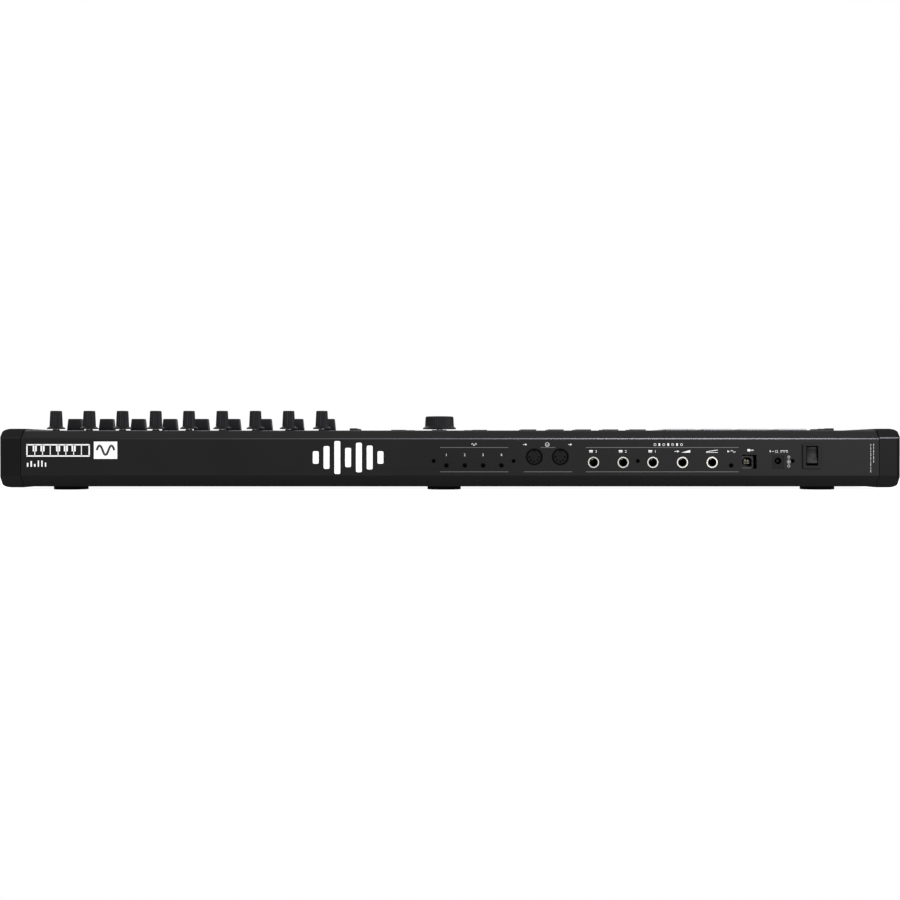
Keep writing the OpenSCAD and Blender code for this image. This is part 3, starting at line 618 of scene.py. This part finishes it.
def add_small_knobs():
    mesh = small_knob_mesh()
    mesh.materials.append(KNOB)
    mesh.materials.append(WHITE_INK)
    bm = bmesh.new()
    bottom = low("knob_1").z
    turned(bm, [(2.3, bottom, 0), (2.5, bottom + 0.2, 0), (2.5, panel_z + 4.5, 0)], 48)
    shaft_mesh = finished(bm, "knob_shaft")
    shaft_mesh.materials.append(STEEL)
    for i in COLUMNS:
        centre = middle(f"knob_{i}")
        knob = piece(f"knob_{i}_cap", mesh, f"knob_{i}", "knob_plastic")
        shaft = piece(f"knob_{i}_shaft", shaft_mesh, f"knob_{i}", "steel")
        for part in (knob, shaft):
            part.location = (centre.x * MM, centre.y * MM, 0)
            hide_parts(f"knob_{i}")


def add_main_knob():
    """A wide knob with a fine fluted grip and a dished top."""
    bottom, top = low("main_knob").z, high("main_knob").z
    centre = middle("main_knob")
    skirt = (high("main_knob").x - low("main_knob").x) / 2
    grip = skirt - 2.0
    bm = bmesh.new()
    profile = [
        (4.2, bottom + 0.6, 0), (4.2, bottom, 0), (skirt - 0.3, bottom, 0), (skirt, bottom + 0.3, 0),
        (skirt, bottom + 1.0, 0), (skirt - 0.3, bottom + 1.3, 0), (grip + 0.6, bottom + 2.0, 0),
        (grip + 0.15, bottom + 2.6, 0.4), (grip, bottom + 3.2, 1), (grip - 0.4, top - 1.6, 1),
        (grip - 0.55, top - 0.9, 0.8), (grip - 0.9, top - 0.35, 0.2), (grip - 1.6, top - 0.05, 0),
        (grip - 2.8, top - 0.01, 0), (grip - 3.6, top - 0.35, 0), (grip - 7, top - 0.5, 0),
        (1.0, top - 0.55, 0)]
    turned(bm, profile, 384, flutes(40, 0.035))
    knob = piece("main_knob_cap", finished(bm, "main_knob_cap", 30), "main_knob", "knob_plastic", KNOB)
    knob.location = (centre.x * MM, centre.y * MM, 0)
    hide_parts("main_knob")


add_small_knobs()
add_main_knob()


# ---------- faders ----------


def fader_cap_mesh():
    """A tapered cap with round corners, a finger groove across its top and a pale line along the groove."""
    node = "fader_1"
    half_w = (high(node).x - low(node).x) / 2
    half_d = (high(node).y - low(node).y) / 2
    bottom, top = panel_z + 0.8, high(node).z
    groove = 1.0
    levels = [(0.0, 0.3), (0.04, 0.05), (0.3, 0.0), (0.95, 0.0), (0.985, 0.15), (1.0, 0.45)]
    bm = bmesh.new()
    loops = []
    for share, inset in levels:
        width = 2 * (half_w - 1.1 * share - inset)
        depth = 2 * (half_d - 0.75 * share - inset)
        loops.append(round_rect(width, depth, 1.1, bottom + share * (top - bottom), steps=6))
    loft(bm, loops)
    cap_face = max(bm.faces, key=lambda f: f.calc_center_median().z)
    bmesh.ops.delete(bm, geom=[cap_face], context="FACES_ONLY")
    rim = [v for v in bm.verts if v.co.z > top - 0.01]
    rim.sort(key=lambda v: math.atan2(v.co.y, v.co.x))
    inner = rim
    for share in (0.75, 0.5, 0.25):
        ring_points = []
        for v in rim:
            y = v.co.y * share
            drop = groove * math.cos(min(1.0, abs(y) / (half_d - 1.6)) * math.pi / 2)
            ring_points.append(bm.verts.new((v.co.x * (0.82 + 0.18 * share), y, top - drop)))
        for i in range(len(rim)):
            j = (i + 1) % len(rim)
            bm.faces.new((inner[i], inner[j], ring_points[j], ring_points[i]))
        inner = ring_points
    bm.faces.new(inner)
    block(bm, (-half_w * 0.72, -0.35, top - groove - 0.12), (half_w * 1.44, 0.7, 0.2), 1)
    return finished(bm, "fader_cap", 40)


def add_faders():
    mesh = fader_cap_mesh()
    mesh.materials.append(KNOB)
    mesh.materials.append(WHITE_INK)
    bm = bmesh.new()
    bottom = low("fader_1").z
    block(bm, (-0.6, -2, bottom), (1.2, 4, panel_z + 4 - bottom))
    lever_mesh = finished(bm, "fader_lever")
    lever_mesh.materials.append(STEEL)
    for i in COLUMNS:
        place = (middle(f"fader_{i}").x * MM, fader_y * MM, 0)
        cap = piece(f"fader_{i}_cap", mesh, f"fader_{i}", "knob_plastic")
        lever = piece(f"fader_{i}_lever", lever_mesh, f"fader_{i}", "steel")
        for part in (cap, lever):
            part.location = place
            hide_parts(f"fader_{i}")


add_faders()


# ---------- drum pads ----------


def add_pads():
    """Sixteen silicone pads with soft edges and a slight crown, on one sheet's flanges."""
    corner, end = low("drum_pads"), high("drum_pads")
    frame_low, frame_high = low("pad_frame"), high("pad_frame")
    count = 4
    pitch_x, pitch_y, flange = 33.0, 32.0, 1.2
    side = end.x - corner.x - 2 * flange - (count - 1) * pitch_x
    centre = (frame_low + frame_high) / 2
    top = end.z
    bm = bmesh.new()
    for i in range(count):
        for j in range(count):
            at = (centre.x + (i - 1.5) * pitch_x, centre.y + (j - 1.5) * pitch_y)
            base = side + 2 * flange
            loops = [round_rect(base, base, 2, corner.z + z, at) for z in (0, 2.0)]
            for inset, drop in ((0, 4.9), (0, 0.75), (0.08, 0.5), (0.3, 0.28), (0.7, 0.16), (3, 0.07),
                                (7, 0.02), (10.5, 0)):
                radius = max(0.8, 2 - inset)
                loops.append(round_rect(side - 2 * inset, side - 2 * inset, radius, top - drop, at))
            loft(bm, loops)
    pads = piece("pads", finished(bm, "pads", 50), "drum_pads", "pad_rubber", PAD)
    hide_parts("drum_pads")
    numbers = Print(0.04)
    for i in range(count):
        for j in range(1, count):
            at = (centre.x + (i - 1.5) * pitch_x - side / 2 + 2.4, centre.y + (j - 2) * pitch_y)
            numbers.number((count - 1 - j) * count + i + 1, at, 2.2)
    numbers.done("pad_numbers", level_plane(frame_high.z), "case", "bright_metal", PANEL_INK)


add_pads()


# ---------- wheels ----------


def wheel_mesh(name, notch_angle):
    """A wheel about X with a crowned rim, fine ribs and one finger notch."""
    steps, half = 360, 7.0
    radius = (high("mod_wheel").y - low("mod_wheel").y) / 2 - 0.05
    def rim(angle):
        away = abs((angle - notch_angle + math.pi) % (2 * math.pi) - math.pi)
        notch = 2.0 * max(0.0, math.cos(min(away / 0.27, 1.0) * math.pi / 2)) ** 1.2
        rib = 0.28 * (0.5 + 0.5 * math.cos(90 * angle)) ** 2 if away > 0.36 else 0.28
        return radius - notch - rib
    stations = [(-half + 3, 4.2), (-half, 3.6), (-half, 1.2), (-half + 0.4, 0.5), (-half + 1.4, 0.05), (0, 0),
                (half - 1.4, 0.05), (half - 0.4, 0.5), (half, 1.2), (half, 3.6), (half - 3, 4.2)]
    bm = bmesh.new()
    loops = []
    for x, inset in stations:
        loop = []
        for step in range(steps):
            angle = 2 * math.pi * step / steps
            r = rim(angle) if inset < 3 else radius
            loop.append(Vector((x, -(r - inset) * math.sin(angle), (r - inset) * math.cos(angle))))
        loops.append(loop)
    loft(bm, loops)
    for x in (-half - 3.3, half - 3):
        hub = [[Vector((x + d, -r * math.sin(a), r * math.cos(a)))
                for a in (2 * math.pi * k / 40 for k in range(40))]
               for d, r in ((0, 2.8), (0.2, 3.0), (6.1, 3.0), (6.3, 2.8))]
        loft(bm, hub)
    return finished(bm, name, 40)


def add_wheels():
    for name, notch in (("pitch_wheel", 0.0), ("mod_wheel", math.radians(40))):
        place = joints[f"{name}_turn"]["pos_m"]
        wheel = piece(f"{name}_rim", wheel_mesh(f"{name}_rim", notch), name, "knob_plastic", KNOB)
        wheel.location = place
        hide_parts(name)


add_wheels()


# ---------- rocker ----------


def add_rocker():
    """A rocker with a hollow face and soft corners, stored with its lower end out."""
    half_w, half_h, depth, tilt = 4.8, 7.3, 6.2, math.radians(8)
    side = [(-3, -3), (-3, 3), (2, half_h), (depth - 0.9, half_h)]
    for k in range(13):
        t = 1 - 2 * k / 12
        hollow = 1.5 * (1 - abs(t) ** 1.6)
        corner = 0.45 * max(0.0, abs(t) - 0.88) / 0.12
        side.append((depth - 0.05 - hollow - corner, (half_h - 0.35) * t))
    side += [(depth - 0.9, -half_h), (2, -half_h)]
    bm = bmesh.new()
    loops = []
    for x, inset in ((-half_w, 0.7), (-half_w + 0.2, 0.25), (-half_w + 0.6, 0), (half_w - 0.6, 0),
                     (half_w - 0.2, 0.25), (half_w, 0.7)):
        loop = []
        for y, z in side:
            y, z = y - (inset if y > 3 else 0), z * (1 - inset / 14)
            loop.append(Vector((x, y * math.cos(tilt) - z * math.sin(tilt),
                                y * math.sin(tilt) + z * math.cos(tilt))))
        loops.append(loop)
    loft(bm, loops)
    rocker = piece("rocker", finished(bm, "rocker", 35), "power_rocker", "socket_plastic", SWITCH)
    rocker.location = joints["power_rocker_tip"]["pos_m"]
    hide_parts("power_rocker")


add_rocker()


# ---------- feet, screws, contacts ----------


def add_feet():
    """Round rubber feet with a soft edge and a recess for the fixing screw."""
    corner, end = low("feet"), high("feet")
    radius = 15.0
    bm = bmesh.new()
    turned(bm, [(radius, end.z, 0), (radius, 0.5, 0), (radius - 0.15, 0.15, 0), (radius - 0.5, 0, 0),
                (radius - 3.0, 0, 0), (radius - 3.4, 0.3, 0), (radius - 5.0, 0.3, 0), (radius - 5.4, 0, 0),
                (5.2, 0, 0), (4.6, 0.4, 0), (4.4, 1.6, 0), (0.5, 1.7, 0)][::-1], 72)
    mesh = finished(bm, "foot", 40)
    mesh.materials.append(FOOT)
    index = 0
    for x in (corner.x + radius, middle("feet").x, end.x - radius):
        for y in (corner.y + radius, end.y - radius):
            index += 1
            foot = piece(f"foot_{index}", mesh, "case", "foot_rubber")
            foot.location = (x * MM, y * MM, 0)
            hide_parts("feet")


def screw_mesh(name, radius, height, shank, length):
    """A domed head with a cross recess, its back at the origin, on a plain shank."""
    bm = bmesh.new()
    steps = 64
    def cross(angle):
        a = (angle + math.pi / 4) % (math.pi / 2) - math.pi / 4
        return min(1.0, 0.34 / max(0.05, abs(math.sin(a)) + 0.02) * 0.34 + 0.18)
    loops = [ring(shank, -length, steps), ring(shank, 0, steps), ring(radius, 0, steps),
             ring(radius, height * 0.35, steps), ring(radius * 0.9, height * 0.72, steps),
             ring(radius * 0.72, height * 0.93, steps), ring(radius * 0.6, height, steps, cross),
             ring(radius * 0.45, height * 0.2, steps, cross)]
    loft(bm, loops)
    return finished(bm, name, 30)


def add_screws():
    """Four on the rear panel and ten under the tray, each left at its own turn."""
    rear = screw_mesh("rear_screw", 1.7, 0.6, 1.0, 6)
    base = screw_mesh("base_screw", 2.8, 1.4, 1.45, 6.8)
    rear_z, under_z = 25.65, low("base_tray").z
    on_rear = [(x, rear_y, rear_z) for x in (14.4, -56, -165.5, -301.8)]
    below = [(x, y, under_z) for x in (-290, -120, 60, 220, 360) for y in (-134, 40)]
    for kind, mesh, places, tilt, turn in (("rear", rear, on_rear, -math.pi / 2, 0.4),
                                           ("base", base, below, math.pi, 0.5)):
        mesh.materials.append(SCREW)
        for made, (x, y, z) in enumerate(places, 1):
            screw = piece(f"{kind}_screw_{made}", mesh, "case", "screw_black")
            screw.matrix_basis = Matrix.Translation((x * MM, y * MM, z * MM)) @ Matrix.Rotation(
                tilt, 4, "X") @ Matrix.Rotation(turn * made, 4, "Z")
            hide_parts("case_screws")


def add_contacts():
    """Gold contacts on the square socket's tongue and a sprung blade in each large jack."""
    usb = mounts("usb_b")[0]
    bm = bmesh.new()
    for x in (-1.6, 0.6):
        for z in (-1.62, 1.5):
            block(bm, (usb.x + x, usb.y - 8, usb.z + z - 0.04), (1.0, 6.6, 0.16))
    piece("usb_contacts", finished(bm, "usb_contacts"), "case", "bright_metal", GOLD)
    bm = bmesh.new()
    for jack in mounts("jack_"):
        block(bm, (jack.x - 0.7, jack.y - 18, jack.z + 2.3), (1.4, 10, 0.3))
    piece("jack_blades", finished(bm, "jack_blades"), "case", "bright_metal", STEEL)


add_feet()
add_screws()
add_contacts()


# ---------- printed marks on the rear ----------


def print_rear():
    top_line, low_line = 37.5, 16.1
    lines = Print()
    for start, end in ((-8.8, 51.2), (119.7, 254.3)):
        lines.line((start, top_line), (end, top_line), 0.5)
        lines.line((start, low_line), (end, low_line), 0.5)
    lines.line((79.9, top_line), (92.7, top_line), 0.5)
    lines.line((64.9, low_line), (107.6, low_line), 0.5)
    lines.done("rear_lines", rear_plane(rear_y), "case", "bright_metal", GREY_INK)

    marks = Print()
    small = mounts("small_jack")
    for index, jack in enumerate(small[:4]):
        marks.number(index + 1, (-jack.x, 31.1), 2.3)
    marks.wave((-small[4].x + 1.6, 34.1), 4.2, 1.9, 1.0, 0.4)
    marks.arrow((-small[4].x - 2.4, 34.1), 2.0)
    marks.wave((21.2, 40.1), 4.6, 2.0, 1.5, 0.4)
    din = mounts("din")
    centre = -(din[0].x + din[1].x) / 2
    for angle in range(180, 361, 45):
        marks.disc(Vector((centre, 40.4)) + spoke(math.radians(angle)), 0.27, 10)
    marks.arc((centre, 40.1), 1.75, 0.28)
    for x in (66.0, 105.7):
        marks.line((x - 1.7, 40.1), (x + 0.3, 40.1), 0.4)
        marks.arrow((x + 1.0, 40.1), 1.8)
    jacks = mounts("jack_")
    for index, jack in enumerate(jacks[:3]):
        marks.number(3 - index, (-jack.x + 2.4, 34.1), 2.3)
        marks.bar((-jack.x - 2.1, 34.5), 3.4, 1.4, 0.5)
        marks.line((-jack.x - 3.6, 33.2), (-jack.x - 0.6, 33.2), 0.35)
    swell = -jacks[3].x
    marks.shape([(swell - 1, 33.0), (swell + 7, 33.0), (swell + 7, 35.3)])
    marks.arrow((swell - 3.6, 34.1), 2.0)
    marks.line((swell - 7, 34.1), (swell - 4.4, 34.1), 0.4)
    pedal = -jacks[4].x
    marks.line((pedal - 5.2, 33.1), (pedal + 5.2, 33.1), 0.4)
    marks.line((pedal - 5.0, 33.8), (pedal + 5.0, 35.3), 0.55)
    for k in range(7):
        at = (192.2 + 3.9 * (k - 3), 40.1)
        if k % 2:
            marks.bar(at, 1.5, 2.3, 0.3)
        else:
            marks.arc(at, 0.95, 0.35)
    usb = mounts("usb_b")[0]
    marks.bar((-usb.x + 0.2, 35.1), 2.6, 2.0, 0.4)
    marks.line((-usb.x + 1.5, 35.1), (-usb.x + 4.6, 35.1), 0.45)
    marks.line((-usb.x + 3.0, 34.3), (-usb.x + 3.0, 35.9), 0.4)
    marks.number("9", (282.0, 34.1), 2.2)
    marks.line((283.7, 34.1), (285.2, 34.1), 0.35)
    marks.number("12", (287.4, 34.1), 2.2)
    marks.line((291.0, 34.7), (297.6, 34.7), 0.4)
    for k in range(3):
        marks.line((291.0 + 2.55 * k, 33.5), (292.5 + 2.55 * k, 33.5), 0.4)
    marks.done("rear_marks", rear_plane(rear_y), "case", "bright_metal", LABEL_INK)

    faint = Print()
    sign_x, sign_z = 298.4, 25.1
    for k in (-1, 1):
        at = (sign_x, sign_z + 4.0 * k)
        faint.arc(at, 1.1, 0.3)
        faint.line((at[0] - 0.6, at[1]), (at[0] + 0.6, at[1]), 0.25)
    faint.line((sign_x, sign_z + 3.4), (sign_x, sign_z + 4.6), 0.25)
    faint.line((sign_x, sign_z - 2.7), (sign_x, sign_z + 2.7), 0.3)
    faint.disc((sign_x, sign_z), 0.75)
    faint.arc((sign_x, sign_z), 1.45, 0.3, 130, 410)
    for column, bottom, lengths in ((370.6, 15.6, (2.6, 1.4, 3.3, 0.9, 2.2, 2.8, 1.2, 3.0, 1.6)),
                                    (373.1, 24.0, (2.4, 3.1, 1.2, 2.6, 1.8, 2.0))):
        at = bottom
        for length in lengths:
            faint.line((column, at), (column, at + length), 0.5)
            at += length + 0.75
    faint.done("rear_faint_marks", rear_plane(rear_y), "case", "bright_metal", FAINT_INK)

    # A row of piano keys and a level meter fill the two large printed areas
    bold = Print()
    key_w, keys_left, keys_low, keys_high, stroke = 6.85, -372.6, 30.0, 39.9, 1.1
    keys_right = keys_left + 8 * key_w
    for z in (keys_low, keys_high):
        bold.line((keys_left - stroke / 2, z), (keys_right + stroke / 2, z), stroke)
    for k in range(9):
        x = keys_left + k * key_w
        bold.line((x, keys_low), (x, keys_high), stroke if k in (0, 8) else 0.7)
        if k in (1, 2, 4, 5, 6):
            bold.bar((x, keys_high - 2.9), 3.5, 5.8, 0.2)
    box_x, box_z = -303.4, 35.1
    bold.bar((box_x, box_z), 20.6, 15.2, 0.2)
    for k, (rise, width) in enumerate(((3.4, 1.3), (5.0, 1.3), (2.4, 1.3), (5.4, 1.1), (5.4, 1.1),
                                       (3.6, 1.1))):
        bold.bar((-372.0 + 3.15 * k, 20.6 + rise / 2), width, rise, 0.2)
    for k, height in enumerate((11, 20, 29, 17, 26, 21, 11)):
        bold.bar((-89.75 + 9.5 * (k - 3), 28.7), 5.2, height, 1.2)
    bold.done("rear_pictograms", rear_plane(rear_y), "case", "bright_metal", WHITE_INK)
    dark = Print(0.03)
    dark.wave((box_x, box_z), 15.6, 8.6, 1.5, 1.9, 60)
    dark.done("rear_pictogram_wave", rear_plane(rear_y + 0.05), "case", "socket_plastic", BLACK_INK)


print_rear()


# ---------- printed marks on top ----------


def print_top():
    marks = Print(0.04)
    for i in COLUMNS:
        x = middle(f"knob_{i}").x
        marks.number(i, (x, knob_y + 14.6), 2.4)
        for tick in range(11):
            ray = spoke(math.radians(240 - 30 * tick))
            inner, outer = (10.0, 11.6) if tick % 5 == 0 else (10.3, 11.3)
            marks.line(Vector((x, knob_y)) + inner * ray, Vector((x, knob_y)) + outer * ray, 0.3)
        for tick in range(-5, 6):
            long = tick % 5 == 0
            for side in (-1, 1):
                marks.line((x + side * 8.6, fader_y + 3 * tick), (x + side * (11.2 if long else 10.2),
                           fader_y + 3 * tick), 0.35 if long else 0.25)
    left, right = middle("knob_1").x - 18, middle("knob_9").x + 15.5
    marks.line((left, knob_y + 10), (left, low("select_buttons").y), 0.35)
    marks.line((left + 4, 37), (right, 37), 0.3)
    pads_right = high("pad_frame").x
    marks.line((pads_right + 6, high("pad_frame").y), (pads_right + 6, low("pad_frame").y), 0.35)
    for y in (104.5, 79):
        marks.line((-178.5, y), (-64, y), 0.3)
    marks.line((-178.5, 33), (-39, 33), 0.3)
    marks.done("panel_marks", level_plane(panel_z), "case", "bright_metal", PANEL_INK)

    deck_top = 46.0
    signs = Print(0.04)
    for name in ("pitch_wheel", "mod_wheel"):
        x, y = (value / MM for value in joints[f"{name}_turn"]["pos_m"][:2])
        signs.arrow((x, y + 31), 3.4, 90)
        signs.arrow((x, y - 31), 3.4, -90)
    signs.wave((-357, -112), 9, 3, 1.0, 0.5)
    signs.wave((-329, -112), 9, 3, 3.0, 0.5)
    signs.done("deck_marks", level_plane(deck_top), "case", "bright_metal", PANEL_INK)


# Signs of solid triangles: their size, the way they point and where they stand from the middle
ARROWS = {"play": (4.0, 0, 0), "up": (3.0, 90, 0), "down": (3.0, -90, 0),
          "back": (3.0, 180, -1.3, 1.5), "forward": (3.0, 0, -1.5, 1.3)}


def chevron(marks, centre, side):
    """An open arrowhead that points right for side 1 and left for side -1."""
    marks.path([centre + Vector(p) for p in ((-side, 1.8), (side, 0), (-side, -1.8))], 0.55)


def icon(marks, kind, x, y):
    """One of a set of plain transport and navigation signs."""
    c = Vector((x, y))
    if kind in ARROWS:
        size, angle, *steps = ARROWS[kind]
        for step in steps:
            marks.arrow(c + Vector((step, 0)), size, angle)
    elif kind == "stop":
        marks.bar(c, 3.4, 3.4, 0.2)
    elif kind in ("record", "dot"):
        marks.disc(c, 1.9 if kind == "record" else 0.9)
    elif kind == "loop":
        marks.arc(c, 1.8, 0.5, 30, 330)
        marks.arrow(c + Vector((1.7, -1.1)), 1.8, 100)
    elif kind in ("left", "right"):
        chevron(marks, c, 1 if kind == "right" else -1)
    elif kind == "ring":
        marks.arc(c, 1.7, 0.5)
    elif kind == "grid":
        for i in (-1, 1):
            for j in (-1, 1):
                marks.bar((x + 1.1 * i, y + 1.1 * j), 1.6, 1.6, 0.2)
    elif kind == "bars":
        for k in (-1, 0, 1):
            marks.bar((x, y + 1.4 * k), 4.4, 0.6, 0.2)
    elif kind == "wave":
        marks.wave(c, 6, 2.6, 1.0, 0.5)
    elif kind == "plus":
        for arm in (Vector((1.8, 0)), Vector((0, 1.8))):
            marks.line(c - arm, c + arm, 0.6)


def print_buttons():
    corner, end = low("command_buttons"), high("command_buttons")
    flange = 1.0
    half_w, half_d = 7.0, 4.5
    right, left = end.x - flange - half_w, corner.x + flange + half_w
    pitch = (right - left) / 5
    front, back = corner.y + flange + half_d, end.y - flange - half_d
    marks = Print(0.04)
    for k, kind in enumerate(("back", "forward", "stop", "play", "record", "loop")):
        icon(marks, kind, left + k * pitch, front)
    rows = (("grid", "ring", "bars", "wave", "plus"), ("left", "dot", "right", "up", "down"))
    for row, kinds in enumerate(rows):
        for k, kind in enumerate(kinds):
            icon(marks, kind, left + k * pitch, back - 25 * row)
    marks.done("command_icons", level_plane(end.z), "command_buttons", "bright_metal", BUTTON_LIGHT)

    end = high("select_buttons")
    marks = Print(0.04)
    for i in COLUMNS:
        x = middle(f"knob_{i}").x
        if i < 9:
            marks.number(i, (x, 22), 3.0)
        else:
            icon(marks, "ring", x, 22)
    main_x = middle("main_knob").x
    for k, kind in ((-1, "left"), (0, "bars"), (1, "right")):
        icon(marks, kind, main_x + 37.4 * k, 94)
    for k, kind in ((-1, "wave"), (1, "plus")):
        icon(marks, kind, main_x + 30 * k, 74)
    marks.done("select_icons", level_plane(end.z), "select_buttons", "bright_metal", BUTTON_LIGHT)

    end = high("small_buttons")
    marks = Print(0.04)
    rows = {-343: (("plus", 117), ("dot", 95), ("down", 72)), 87: (("up", 119), ("dot", 89), ("down", 71))}
    for x, signs in rows.items():
        for kind, y in signs:
            icon(marks, kind, x, y)
    marks.done("small_icons", level_plane(end.z), "small_buttons", "bright_metal", BUTTON_LIGHT)


def light_display():
    """A generic picture on the screen: a wave, a level meter and a number."""
    centre, top = middle("display_module"), high("display_module").z
    marks = Print(0.03)
    marks.wave((centre.x - 18, centre.y), 34, 11, 2.0, 0.5, 60)
    for k in range(8):
        height = 3 + 10 * abs(math.sin(1.1 * k + 0.6))
        marks.bar((centre.x + 8 + 3.2 * k, centre.y - 8 + height / 2), 2.0, height, 0.3)
    marks.number(1, (centre.x + 36, centre.y + 3.5), 5)
    marks.line((centre.x - 38, centre.y - 9.6), (centre.x + 38, centre.y - 9.6), 0.3)
    marks.done("screen_picture", level_plane(top), "case", "screen", SCREEN_LIGHT)


print_top()
print_buttons()
light_display()


# ---------- floor, light, camera ----------


def add_floor():
    """A pale sheet that glows a little, so that its shadow stays soft and light."""
    bm = bmesh.new()
    bmesh.ops.create_grid(bm, x_segments=4, y_segments=4, size=6)
    mesh = bpy.data.meshes.new("floor")
    bm.to_mesh(mesh)
    bm.free()
    floor = bpy.data.objects.new("floor", mesh)
    bpy.context.scene.collection.objects.link(floor)
    mesh.materials.append(
        Finish("floor_paper", (0.24, 0.24, 0.24), 0.9, spread=0.01, drift=1.5, grain=60, relief=0.05,
               gloss_spread=0.03, Specular_IOR_Level=0.05, Emission_Color=(1, 1, 1, 1),
               Emission_Strength=0.94).done())


def add_lamp(name, place, size, power, aim=(0, 0, 0.03)):
    lamp = bpy.data.lights.new(name, "AREA")
    lamp.shape = "RECTANGLE"
    lamp.size, lamp.size_y = size
    lamp.energy = power
    obj = bpy.data.objects.new(name, lamp)
    bpy.context.scene.collection.objects.link(obj)
    obj.location = place
    obj.rotation_euler = (Vector(aim) - Vector(place)).to_track_quat("-Z", "Y").to_euler()


def add_light():
    world = bpy.data.worlds.new("studio")
    bpy.context.scene.world = world
    world.use_nodes = True
    background = world.node_tree.nodes["Background"]
    background.inputs["Color"].default_value = (1, 1, 1, 1)
    background.inputs["Strength"].default_value = 1.0
    add_lamp("key", (-0.5, 1.1, 1.2), (0.6, 0.35), 9, (-0.2, 0.147, 0.045))
    add_lamp("side", (-0.75, 1.1, 0.3), (0.8, 0.5), 8, (-0.3, 0.147, 0.03))
    add_lamp("front", (0.7, -1.4, 0.9), (0.9, 0.6), 4)


def add_camera():
    """A 50 mm lens, level with the rear panel and square to it."""
    distance, height = 1.101, 0.0353
    data = bpy.data.cameras.new("camera")
    data.lens = 50
    data.sensor_width = 36
    camera = bpy.data.objects.new("camera", data)
    bpy.context.scene.collection.objects.link(camera)
    camera.location = (0, rear_y * MM + distance, height)
    camera.rotation_euler = (math.pi / 2, 0, math.pi)
    bpy.context.scene.camera = camera
    bpy.context.scene.view_settings.view_transform = "Standard"


add_floor()
add_light()
add_camera()
